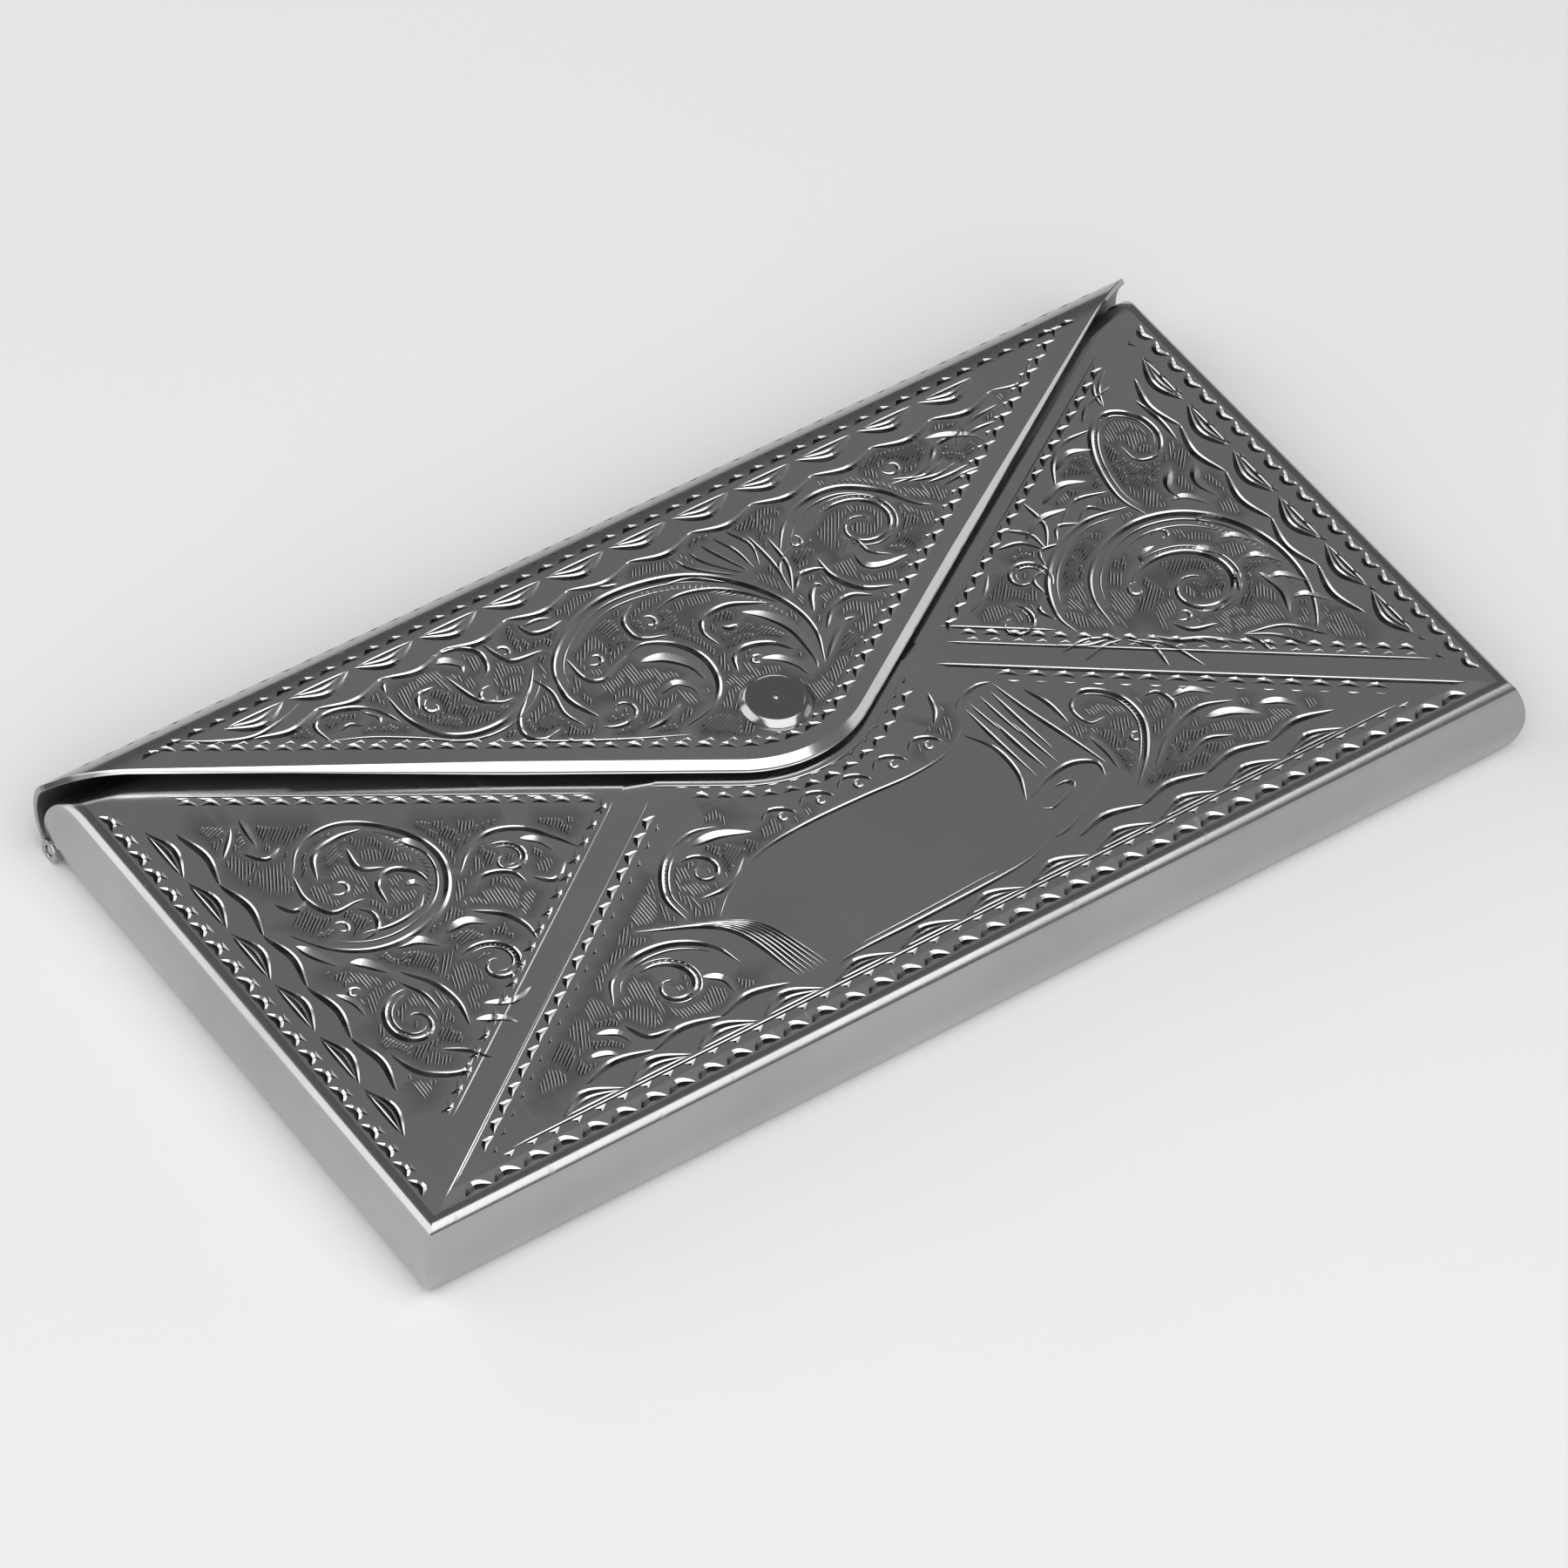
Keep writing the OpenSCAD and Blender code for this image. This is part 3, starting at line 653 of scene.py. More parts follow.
def draw_left(w):
    side_border(w, -1)
    w.cut(resample(beside_flap(-44, -16, 1.3), 1), 0.14, 0.5, 0.1)
    w.rope(seam(-15.8, -43.5, -1, BAND_W + 1.15), 1.9)
    w.notches(seam(-43.5, -15.8, -1, BAND_W + 0.55), 1.9, 0.9, 0.3)
    w.cut(resample(seam(-43, -15.4, -1, BAND_W + 0.25), 1), 0.2, 0.5, 0.1)
    big = curve([(-43.4, 3.2), (-41.4, 0.4), (-38.8, -1.3), (-35.8, -1.7), (-32.6, -0.8), (-30.4, 1.2),
                 (-29.4, 4), (-30.2, 7), (-32.4, 9.6), (-35, 10.8), (-38, 10.2), (-39.9, 8)])
    w.cut(big, 0.48, 0.45)
    w.cut(part(offset(big, 0.8), 0.1, 0.75), 0.2)
    shades(w, offset(big, 0.8), 0.5, 0.35, 0.7, 0.9, 0.6)
    w.line(0.36, (-39.9, 8), (-40.3, 5.6), (-39.4, 3.4), (-37.4, 3.3), (-36.6, 3.2))
    w.line(0.44, (-38.6, 6.6), (-37.4, 8.9), (-35, 9.5), (-33, 9.2))
    w.line(0.4, (-33.6, 5), (-35.2, 6), (-35, 8.2))
    w.line(0.42, (-35.4, 1.8), (-34.9, 4), (-33.2, 4.6), (-31.8, 3.4), (-31.6, 1.8))
    comma(w, [(-33.4, 2.6), (-32.6, 2.6), (-32.2, 1.8)], 0.5)
    comma(w, [(-31.2, 6.8), (-30.4, 5.6), (-30, 4.2)], 0.7)
    w.line(0.36, (-37.6, 2.8), (-36.8, 1.6), (-37.4, 0.2), (-39, -0.2))
    w.line(0.3, (-38.6, 0.4), (-36.2, -0.1), (-33.8, 0.2), (-32.6, 1.2))
    eye(w, (-39.6, 1.6), 0.6, 120, -1)
    eye(w, (-37.5, 5.2), 0.75, 200)
    w.line(0.36, (-42.6, 6.4), (-41.6, 5), (-40.2, 5.4))
    w.line(0.34, (-41.9, 12), (-40.6, 10.5), (-39.2, 10.9))
    comma(w, [(-40.2, 15), (-40.4, 13.4), (-40.6, 11.9)], 0.5)
    w.line(0.34, (-43.4, 12.2), (-42, 13.6), (-41.2, 14.6))
    mid = curve([(-29.2, 1.4), (-27.4, 3), (-25, 3.8), (-22.6, 2.8), (-21, 0.6), (-20, -1.4)])
    w.cut(mid, 0.42)
    ribbon(w, spiral((-25.4, 0.7), 2.2, 0.6, 100, -260, 0.9), -0.4, 0.34)
    w.line(0.38, (-29.4, -0.4), (-27.6, 0.4), (-25.8, -0.4), (-25.4, -2))
    w.line(0.4, (-24.8, -1.7), (-23.4, -2.8), (-21.8, -1.8))
    comma(w, [(-23.4, 2), (-22.3, 1), (-21.9, -0.6)], 0.6)
    comma(w, [(-43.5, 2), (-42.8, 0.4), (-41.9, -1.4)], 0.75)
    comma(w, [(-41, -1.5), (-40, -2.4), (-39, -4)], 0.8)
    comma(w, [(-37.4, -2.1), (-35.6, -2.4), (-34.3, -3.8)], 0.8)
    comma(w, [(-33.4, -2.9), (-31.4, -2.8), (-30, -4)], 0.75)
    w.line(0.4, (-30.6, -2), (-28.6, -3.6), (-27.8, -5.4), (-27.9, -7.2))
    w.line(0.42, (-38.4, -4.2), (-36.8, -6.4), (-36.3, -9), (-36.9, -11.6))
    w.line(0.28, (-39, -5), (-38, -7), (-37.9, -9))
    low = spiral((-40, -9), 3, 0.6, 70, 480, 1.1)
    ribbon(w, low, 0.5, 0.42)
    w.line(0.44, (-43.4, -10.6), (-42.4, -13.2), (-40, -14.8), (-38.4, -14.2))
    ribbon(w, spiral((-31.8, -7.6), 3, 0.6, 130, -300, 0.95), -0.5, 0.42)
    comma(w, [(-36.2, -11.2), (-34.4, -12.2), (-33.8, -13.2)], 0.6)
    comma(w, [(-34.8, -10.2), (-32.8, -11.2), (-31, -10.8)], 0.55)
    comma(w, [(-43.6, -3.6), (-42.9, -5), (-42.9, -6.6)], 0.5)
    eye(w, (-42.4, -4.2), 0.5, 0)
    w.line(0.34, (-39.9, -12.2), (-38.2, -13.4), (-37.2, -15))
    w.background([(-43.6, 16.2), (-43.6, -15.8), (-18.6, -0.2), (-17.6, 1)])


def draw_right(w):
    side_border(w, 1)
    w.cut(resample(beside_flap(17.5, 44, 1.3), 1), 0.14, 0.5, 0.1)
    w.rope(seam(16.8, 46, 1, BAND_W + 1.1), 1.75)
    w.notches(seam(46, 16.8, 1, BAND_W + 0.6)[::-1], 1.75, 0.9, 0.3)
    w.cut(resample(seam(15.6, 46.4, 1, BAND_W + 0.25), 1), 0.24, 0.5, 0.1)
    w.cut(resample(seam(16.2, 23.6, 1, BAND_W + 1.9), 1), 0.26, 0.5, 0.1)
    big = curve([(27.6, -4.6), (28, -1.4), (29.6, 1.2), (32.4, 3), (36, 3.6), (39.6, 2.4), (42.4, -0.6),
                 (43.6, -4.6), (43.2, -8.8), (41.4, -12.4), (39.6, -14)])
    w.cut(big, 0.5, 0.5)
    w.cut(part(offset(big, -0.8), 0.08, 0.7), 0.2)
    w.cut(part(offset(big, -1.5), 0.25, 0.6), 0.16)
    shades(w, offset(big, -0.8), 0.5, 0.5, 0.85, -1, 0.6)
    inner = spiral((35.6, -4.6), 5.3, 1.1, 150, -330, 0.95)
    ribbon(w, inner, 0.55, 0.44)
    for f, a in ((0.12, 60), (0.3, -10), (0.48, -80), (0.64, -150)):
        q = inner[int(f * (len(inner) - 1))]
        k = math.radians(a)
        d = np.array([math.cos(k), math.sin(k)])
        side = np.array([d[1], -d[0]])
        comma(w, [q + d * 0.7, q + d * 1.7 + side * 0.5, q + d * 2.4 + side * 1.3], 0.6)
    eye(w, (36.6, 1.3), 0.7, 160, -1)
    eye(w, (31.4, -2.4), 0.7, 60)
    eye(w, (33, -6.4), 0.6, 200)
    w.line(0.42, (29, -6.4), (30.8, -8.2), (33, -9.4), (35.2, -11.4))
    w.line(0.36, (31.6, -6.6), (32.6, -8), (34.6, -8.6))
    comma(w, [(40.6, -6), (41, -8.4), (40, -10.8)], 0.7)
    # upper scroll and its stem
    ribbon(w, curve([(36.9, 3.6), (36.2, 6.6), (37, 10.6), (38.8, 13.6), (41, 14.4), (42.8, 12.8),
                     (43, 10.4), (41.6, 8.6), (39.8, 9), (39.6, 10.8)]), -0.5, 0.44)
    comma(w, [(43.6, 6.4), (42.4, 4.6), (42.8, 2.4)], 0.7)
    comma(w, [(41.6, 7), (40.2, 5.4), (40.2, 3.6)], 0.65)
    w.line(0.36, (43.8, 9), (44, 11.6), (43.6, 14.4))
    w.line(0.36, (38.4, 14.4), (40.2, 16), (42.8, 16.6))
    spray(w, (41, 15), [(43.6, 18.4, 0.1), (42, 17.8, 0.1)], 0.28)
    # leaves towards the flap's tip
    stem = curve([(36.2, 5.2), (32.4, 5.8), (28.8, 4.6), (26, 2), (24.6, -1.2), (24.8, -3.6)])
    w.cut(stem, 0.46)
    w.cut(part(offset(stem, 0.7), 0.1, 0.8), 0.2)
    lobes(w, stem, 0.1, 0.9, 5, -1.1, 0.3)
    ribbon(w, spiral((24.8, 3.4), 2.4, 0.6, -60, 330, 0.95), 0.45, 0.36)
    ribbon(w, spiral((21.2, -0.2), 2.2, 0.6, 60, -280, 0.95), -0.4, 0.34)
    comma(w, [(27.2, 6.6), (29.6, 7.8), (32, 7.6)], 0.6)
    comma(w, [(30.6, 9), (33, 9.9), (35, 9.2)], 0.6)
    comma(w, [(33.6, 11.4), (35.6, 12.4), (37.4, 11.8)], 0.55)
    w.line(0.34, (19, 2.6), (21, 3.6), (22.6, 5.2))
    w.line(0.34, (22.4, -3.6), (24.6, -5), (26.4, -5.4))
    w.line(0.3, (30.4, 6.4), (33, 8), (35.8, 7.4))
    for k in range(6):
        x, y = 43.2 - 0.35 * k, -11 + 2.7 * k
        comma(w, [(x - 2.2, y + 1.5), (x - 0.8, y + 1.2), (x + 0.5, y - 0.6)], 0.5)
    spray(w, (35.6, -10.6), [(41.2, -14.2, 0.15), (39.4, -14.4, 0.1), (36.4, -13.2, 0.1)], 0.3)
    spray(w, (27.4, -6), [(22.4, -4.6, -0.15), (23.4, -6.4, -0.1), (28.6, -10.4, 0.2),
                          (31, -11.8, 0.15)], 0.32)
    spray(w, (28, 4.8), [(24.6, 7, -0.2), (26.4, 8.4, -0.2), (29.4, 10, -0.15)], 0.32)
    w.line(0.36, (38.6, 13.6), (36, 13.6), (34, 12.2), (32.6, 10))
    w.background([(18.4, 0), (43.6, -16.4), (44, 16.6), (18.4, 1.6)])


def draw_bottom(w):
    w.crescents([(-46.4, -24.95), (46.4, -24.95)], 2.55, 0.55)
    w.notches([(42.4, -23.3), (-42.4, -23.3)], 2.0, 1.0, 0.45)
    w.cut(curve([(-41, -23.1), (0, -23.1), (41, -23.1)], 1.4), 0.2, 0.5, 0.05)
    leaves(w, [(-36.6, -22.8), (-12.6, -22.8)], 6.05, 1.25)
    leaves(w, [(-12.2, -22.8), (36.2, -22.8)], 6.05, 1.0)
    scallops(w, [(-33, -21), (-14.8, -21)], 6.05, 0.8)
    scallops(w, [(12.2, -20.9), (36.4, -20.9)], 6.05, 0.8)
    w.rope(seam(-43, -13.6, -1, -1.15), 1.9)
    w.notches(seam(-43, -13.6, -1, -1.65)[::-1], 1.9, 0.9, 0.3)
    w.rope(seam(16.6, 41.6, 1, -1.15), 2.2)
    w.notches(seam(16.6, 41.6, 1, -1.7)[::-1], 2.2, 0.9, 0.3)
    w.cut(resample(seam(13.4, 47, 1, -0.25), 1), 0.34, 0.5, 0.08)
    w.cut(resample(seam(-46.4, -13.2, -1, -0.2), 1), 0.16, 0.5, 0.1)
    # wriggle row under the flap's tip
    w.cut(resample(beside_flap(-12.4, 12.4, 0.85), 0.8), 0.16, 0.5, 0.1)
    w.notches(beside_flap(-11, 11, 0.95)[::-1], 1.8, 0.9, 0.3)
    w.rope(beside_flap(-10.4, 10.4, 2.1), 1.7)
    # plain cartouche, its curled ribbon end and its fold lines
    w.line(0.3, (-15.4, -12.9), (-13.6, -11.3), (-11, -9.8), (-8, -8.9), (-4, -8.6), (1, -8.7),
           (5.4, -8.9), (9, -8.4), (11.8, -6.6))
    w.line(0.34, (-11.4, -21.8), (-9, -21.2), (-2, -21.1), (6.6, -20.8), (10.2, -20))
    w.line(0.16, (-8, -20.7), (-2, -20.6), (5, -20.3))
    w.line(0.32, (10.4, -20), (13, -19.4), (18.4, -16.6))
    w.line(0.36, (10.9, -7.6), (12.2, -10), (12.2, -13), (11, -15.8))
    w.line(0.36, (11.9, -5.2), (13.3, -4.3), (14.8, -4), (15.9, -4.3))
    w.line(0.34, (15.9, -4.4), (16.6, -8), (17.6, -12), (18.5, -16))
    w.line(0.42, (11.3, -15.8), (13.8, -14.7), (16.2, -14.4), (17.9, -15.4), (17.6, -17))
    w.line(0.3, (11.6, -17), (12.4, -17.4), (14.9, -16.5), (15, -15.8), (13.4, -15.7))
    for x, y0, y1, width in ((12.6, -5.5, -14.3, 0.3), (13.2, -5.2, -9.6, 0.2), (13.7, -7.8, -14, 0.34),
                             (14.3, -5, -11, 0.24), (14.8, -8.6, -14, 0.24), (15.3, -5, -12.6, 0.3)):
        w.cut(curve([(x, y0), (x + 0.25, (y0 + y1) / 2), (x + 0.6, y1)]), width, 0.4, 0.8)
    for k in range(7):
        a, b = (-21.6 + 1.05 * k, -10.6 - 0.42 * k), (-13.6 + 0.42 * k, -20.9)
        m = ((a[0] + b[0]) / 2 + 2.2 - 0.3 * k, (a[1] + b[1]) / 2 + 1.6)
        w.cut(curve([a, m, b], 0.5), 0.36 - 0.025 * k, 0.55, 0.6)
    # left scroll under the blades
    arc = curve([(-27, -15.8), (-25.6, -13.6), (-22.8, -12.6), (-19.8, -13), (-17.4, -14.8), (-16.6, -17.4)])
    w.cut(arc, 0.46)
    w.cut(part(offset(arc, -0.7), 0.1, 0.85), 0.2)
    ribbon(w, spiral((-22.2, -16.6), 2.9, 0.6, 120, -320, 0.95), 0.45, 0.4)
    w.line(0.4, (-27.4, -17.8), (-26.4, -19.6), (-24.6, -20))
    comma(w, [(-29.6, -17.4), (-28.2, -18.2), (-27.8, -19.6)], 0.55)
    comma(w, [(-31.4, -19), (-30, -19.4), (-29.2, -20.2)], 0.5)
    comma(w, [(-19.8, -17), (-18.6, -18), (-18.6, -19.6)], 0.6)
    # small scrolls between the seam, the flap's tip and the cartouche
    ribbon(w, curve([(-17.6, -11.8), (-17.6, -8.8), (-15.6, -5.9), (-12.6, -4.7), (-10.4, -5.2)]), -0.5, 0.42)
    comma(w, [(-13.2, -5.8), (-10.8, -6), (-8.4, -7.1)], 0.75)
    w.cut(spiral((-13.8, -8.4), 1.9, 0.5, 120, -260), 0.36, 0.3)
    w.line(0.34, (-15.6, -10.6), (-13, -10.6), (-10.4, -8.9))
    for k, x in enumerate((-5.6, -2.2, 1.2, 4.6, 8)):
        y = -7.1 + 0.16 * abs(k - 2)
        w.cut(curve([(x - 1.7, y), (x - 0.6, y + 0.8), (x + 0.7, y + 0.3), (x + 1.2, y - 0.6)]), 0.34, 0.6)
        eye(w, (x + 0.1, y - 0.45), 0.42, 60)
    w.line(0.34, (9.6, -5.6), (10.6, -4.4), (11.2, -2.6))
    # leaves right of the ribbon end
    ribbon(w, curve([(19, -19.2), (21.8, -16.6), (23.6, -13.6), (23.4, -10.6), (21.4, -8.8), (19.6, -9.8),
                     (19.8, -11.8), (21.2, -12)]), 0.5, 0.42)
    w.line(0.42, (21.4, -18.2), (24.4, -16), (27.8, -15), (30.6, -15.9))
    comma(w, [(26.6, -13), (28.4, -13.2), (29.8, -14.6)], 0.55)
    comma(w, [(27.6, -16.2), (29.8, -16.8), (31.6, -18.2)], 0.75)
    comma(w, [(32, -17.2), (33.6, -17.9), (34.6, -19.2)], 0.6)
    comma(w, [(19, -13), (19.2, -15), (18.9, -17)], 0.5)
    w.line(0.34, (17.6, -6.2), (18.4, -8.4), (18.5, -11))
    w.line(0.34, (24, -18.8), (26.4, -18), (28.4, -18.8))
    w.line(0.36, (24.8, -11.8), (26.2, -12), (26.6, -13.6), (25.6, -14.6))
    eye(w, (22, -15), 0.5, 40)
    w.background([(-37.6, -20.2), (-15.2, -5.2), (-9.5, -3.6), (-8.6, -8.4), (-15.8, -12.8), (-23.4, -11.8),
                  (-16, -20.2)])
    w.background([(-9, -8.4), (-7, -6.4), (0, -8), (8, -6.4), (11.4, -3.4), (10.6, -8.2), (0, -8)], 1, 60)
    w.background([(17, -6.4), (38.4, -20.6), (20, -20), (18.8, -16)])


def draw_back(w):
    """A quieter guess for the side that is never seen: a border and four corner sprays."""
    x, y0, y1 = 47.6, -23.6, 21.6
    ring = [(-x, y0), (x, y0), (x, y1), (-x, y1), (-x, y0)]
    for a, b in zip(ring, ring[1:]):
        d = (np.array(b) - a) / np.hypot(*(np.array(b) - a))
        w.crescents([a + d * 0.8, b - d * 0.8], 2.15, 0.55)
        n = np.array([-d[1], d[0]])
        w.cut(resample(np.array([a + d * 2 + n * 1.4, b - d * 2 + n * 1.4]), 1.4), 0.22, 0.5, 0.05)
        scallops(w, [a + d * 4.5 + n * 2.4, b - d * 4.5 + n * 2.4], 6.0, 0.8)
    for sx in (-1, 1):
        for sy, cy in ((1, y0), (-1, y1)):
            c = np.array([-sx * (x - 9), cy + sy * 8])
            turn = sx * sy
            ribbon(w, spiral(c, 4.4, 0.8, 180 if sx > 0 else 0, (180 if sx > 0 else 0) - turn * 560, 0.9),
                   -0.5 * turn, 0.4)
            comma(w, [c + (sx * 4.8, 0), c + (sx * 7, -sy * 1.2), c + (sx * 9, 0)], 0.7)
            comma(w, [c + (sx * 1, sy * 4.6), c + (sx * 3, sy * 6.4), c + (sx * 5.4, sy * 6)], 0.7)
    w.background([(-45, -21), (-30, -21), (-34, -12), (-45, -10)])
    w.background([(45, -21), (30, -21), (34, -12), (45, -10)])
    w.background([(-45, 19), (-30, 19), (-34, 10), (-45, 8)])
    w.background([(45, 19), (30, 19), (34, 10), (45, 8)])


# ---- surfaces: where a drawing point lies in space ----

def rolled(v, down, centre, radius, top):
    """(Y, Z) on a sheet that is flat up to centre and then rolls down on radius."""
    t = np.clip((v - centre) / radius, 0, None)
    y = np.where(t > 0, centre + (radius - down) * np.sin(t), v)
    z = np.where(t > 0, top - radius + (radius - down) * np.cos(t), top - down)
    return y, z


def fold(u, v):
    """Height of the front fold over the two side folds."""
    foot = SEAM_Y + BAND_W * math.hypot(1, SEAM_SLOPE)
    h = (foot - SEAM_SLOPE * np.abs(u) - v) / (BAND_W * math.hypot(1, SEAM_SLOPE))
    return FOLD_H * np.clip(np.minimum.reduce([h, PLATE_X - 0.2 - np.abs(u), v - PLATE_Y - 0.2]), 0, 1)


def front_surface(u, v, down):
    y, z = rolled(v, down, NOSE_Y, MID_Z, BODY_T)
    return np.c_[u, y, z + fold(u, v)]


def flap_surface(u, v, down):
    y, z = rolled(v, down, SPINE_Y, SPINE_R, FLAP_TOP)
    return np.c_[u, y, z]


def back_surface(u, v, down):
    return np.c_[-u, v, down]


def circle(x, y, r, n):
    k = np.arange(n) * 2 * math.pi / n
    return np.c_[x + r * np.cos(k), y + r * np.sin(k)]


def trim(work, outline, holes):
    """Drops whatever would run over the edge of the sheet."""
    ring = np.array(outline)

    def fits(points):
        ok = inside(points, ring)
        for h in holes:
            ok &= ~inside(points, np.array(h))
        return ok

    cuts = []
    for p, n, a, b, d, tarnish_and_shade in work.cuts:
        ok = fits(p) & fits(p + n * (a + 0.04)[:, None]) & fits(p - n * (b + 0.04)[:, None])
        if ok.all():
            cuts.append((p, n, a, b, d, tarnish_and_shade))
            continue
        for i, j in runs(ok):
            if j - i >= 3:
                fade = np.minimum(1, np.minimum(np.arange(j - i), np.arange(j - i)[::-1]) / 1.5)
                cuts.append((p[i:j], n[i:j], a[i:j] * fade, b[i:j] * fade, d[i:j] * fade, tarnish_and_shade))
    work.cuts = cuts
    work.pits = [pit for pit in work.pits if fits(pit[0]).all()]


# ---- the three sheets ----

def front_sheet():
    work = Engraving()
    rows = list(NOSE_Y + MID_Z * np.radians(np.arange(0, 34, 4.25)))
    end = NOSE_Y + MID_Z * math.radians(34)
    for v in rows:
        work.guides.append([(-PLATE_X, v), (PLATE_X, v)])
    foot = BAND_W * math.hypot(1, SEAM_SLOPE)
    for rise, reach in ((0, 47.6), (foot, 48.9)):
        low = SEAM_Y + rise - SEAM_SLOPE * reach
        work.guides.append([(-reach, low), (0, SEAM_Y + rise), (reach, low)])
    work.guides.append([(-48.6, PLATE_Y + 0.2), (48.6, PLATE_Y + 0.2)])
    work.guides.append([(-47, PLATE_Y + 1.2), (47, PLATE_Y + 1.2)])
    for draw in (draw_left, draw_right, draw_bottom):
        draw(work)
    side = [PLATE_Y, -15, -5, 5, 14] + rows + [end]
    outline = [(PLATE_X, v) for v in side] + [(-PLATE_X, v) for v in side[::-1]]
    hole = circle(0, SEAL_Y, EYELET_R, 40)
    trim(work, outline, [hole])
    return make_sheet("engraved_front", outline, [hole], work, front_surface,
                      lambda p, out: [], SHEET, 5.5)


def hinge_end(clear):
    """Unrolled V where the spine meets the hinge tube."""
    r = HINGE_R + clear
    reach = math.hypot(HINGE_Y - SPINE_Y, SPINE_R - HINGE_R)
    at = math.pi / 2 + math.atan2(SPINE_R - HINGE_R, HINGE_Y - SPINE_Y)
    part_ = math.acos((SPINE_R**2 + reach**2 - r * r) / (2 * SPINE_R * reach))
    return SPINE_Y + SPINE_R * (at - part_)


def flap_sheet():
    work = Engraving()
    work.mark(np.array([[0, SEAL_Y]]), seal_hi[0] - 0.6)
    draw_flap(work)
    r = TIP_R + LIP_GROW
    px, py = r * EDGE_RISE / EDGE_HYP, TIP_CY - r * EDGE_RUN / EDGE_HYP
    limit = math.asin(EDGE_RISE / EDGE_HYP)
    right = [(r * math.sin(k), TIP_CY - r * math.cos(k)) for k in np.linspace(0, limit, 13)]
    reach = (SPINE_Y - py) * EDGE_RUN / EDGE_RISE
    right += [(px + x, py + x * EDGE_RISE / EDGE_RUN) for x in np.linspace(0, reach, 20)[1:-1]]
    end = hinge_end(0.02)
    rows = np.linspace(SPINE_Y, end, 34)[:-1]
    for v in rows:
        y = SPINE_Y + SPINE_R * math.sin((v - SPINE_Y) / SPINE_R)
        x = px + (y - py) * EDGE_RUN / EDGE_RISE
        if (v - SPINE_Y) / SPINE_R > math.pi / 2:
            x = HALF_L
        right.append((min(x, HALF_L), v))
    step = 2 * HALF_L / 7
    own, other = end, hinge_end(0.09)
    low = []
    for k in range(7):
        v = own if k % 2 else other
        gap = 0.1 if k % 2 == 0 else -0.1
        low += [(HALF_L - k * step + (gap if k else 0), v),
                (HALF_L - (k + 1) * step - (gap if k < 6 else 0), v)]
    outer = np.array(right + low + [(-x, v) for x, v in right[:0:-1]])
    t = np.roll(outer, -1, axis=0) - np.roll(outer, 1, axis=0)
    t /= np.hypot(t[:, 0], t[:, 1])[:, None]
    bevel = np.clip((51 - np.abs(outer[:, 0])) / 30, 0.07, 1)
    bevel[outer[:, 1] > SPINE_Y + 4] = 0.07
    bevel[len(right):len(right) + len(low)] = 0
    outline = outer - np.c_[t[:, 1], -t[:, 0]] * (LIP_RUN * bevel)[:, None]
    for v in rows:
        x = np.abs(outline[np.abs(outer[:, 1] - v) < 1e-6, 0])[0]
        q = outline[np.abs(outer[:, 1] - v) < 1e-6, 1][0]
        work.guides.append([(-x, q), (x, q)])

    def rings(p, out):
        f = bevel
        return [(0.50 * f, 0.62 * f), (LIP_RUN * f, 0.74 * f),
                (LIP_RUN * f, np.maximum(0.86 * f, 0.44 * (f > 0) + 0.42 * (f <= 0))),
                (0.16 * f, np.maximum(0.86 * f, 0.46))]

    hole = circle(0, SEAL_Y, 0.5, 24)
    trim(work, outline, [hole])
    return make_sheet("engraved_flap", outline, [hole], work, flap_surface, rings, SHEET, 5.5)


def back_sheet():
    work = Engraving()
    draw_back(work)
    near, far = HINGE_Y - 0.45, HINGE_Y - 0.92
    outline = [(-PLATE_X, PLATE_Y), (PLATE_X, PLATE_Y)] + \
              [(PLATE_X, v) for v in (0, near)] + [(-PLATE_X, v) for v in (near, 0)]
    trim(work, outline, [])

    def rings(p, out):
        back = np.where(p[:, 1] > 20, far - near, 0)
        return [(back * 0.45, np.full(len(p), 0.12)), (back, np.full(len(p), 0.45))]

    return make_sheet("engraved_back", outline, [], work, back_surface, rings, SHEET, 5.5)


# ---- rims, hinge, seal and snap ----

RIM_BULGE, RIM_CORNER, CORNER_U = HALF_L - PLATE_X, 1.0, 0.2
ARC_R = (RIM_CORNER**2 - (CORNER_U - RIM_BULGE)**2 - (MID_Z - RIM_CORNER)**2) / (
    2 * (CORNER_U - RIM_BULGE + RIM_CORNER))
ARC_A = math.asin((MID_Z - RIM_CORNER) / (ARC_R - RIM_CORNER))


def rim_profile(inset):
    """(outward, Z) from the plate above to the plate below."""
    def arc(cu, cz, r, a0, a1, n):
        return [(cu + r * math.cos(a), cz + r * math.sin(a)) for a in np.linspace(a0, a1, n)]
    q = math.pi / 2
    pts = [(0, BODY_T - inset), (CORNER_U * 0.5, BODY_T - inset)]
    pts += arc(CORNER_U, BODY_T - RIM_CORNER, RIM_CORNER - inset, q, ARC_A, 14)
    pts += arc(RIM_BULGE - ARC_R, MID_Z, ARC_R - inset, ARC_A, -ARC_A, 22)[1:-1]
    pts += arc(CORNER_U, RIM_CORNER, RIM_CORNER - inset, -ARC_A, -q, 14)
    return np.array(pts + [(CORNER_U * 0.5, inset), (0, inset)])


def strip(name, rings):
    """Closed skin over rings of equal length; the last joins the first."""
    m, n = len(rings), len(rings[0])
    pos = np.vstack(rings)
    faces = []
    for i in range(m):
        a, b = i * n, (i + 1) % m * n
        faces += [(a + k, a + k + 1, b + k + 1, b + k) for k in range(n - 1)]
    faces += [[i * n for i in range(m)][::-1], [i * n + n - 1 for i in range(m)]]
    ob = finish_mesh(name, pos, faces, 40)
    outward(ob)
    return ob


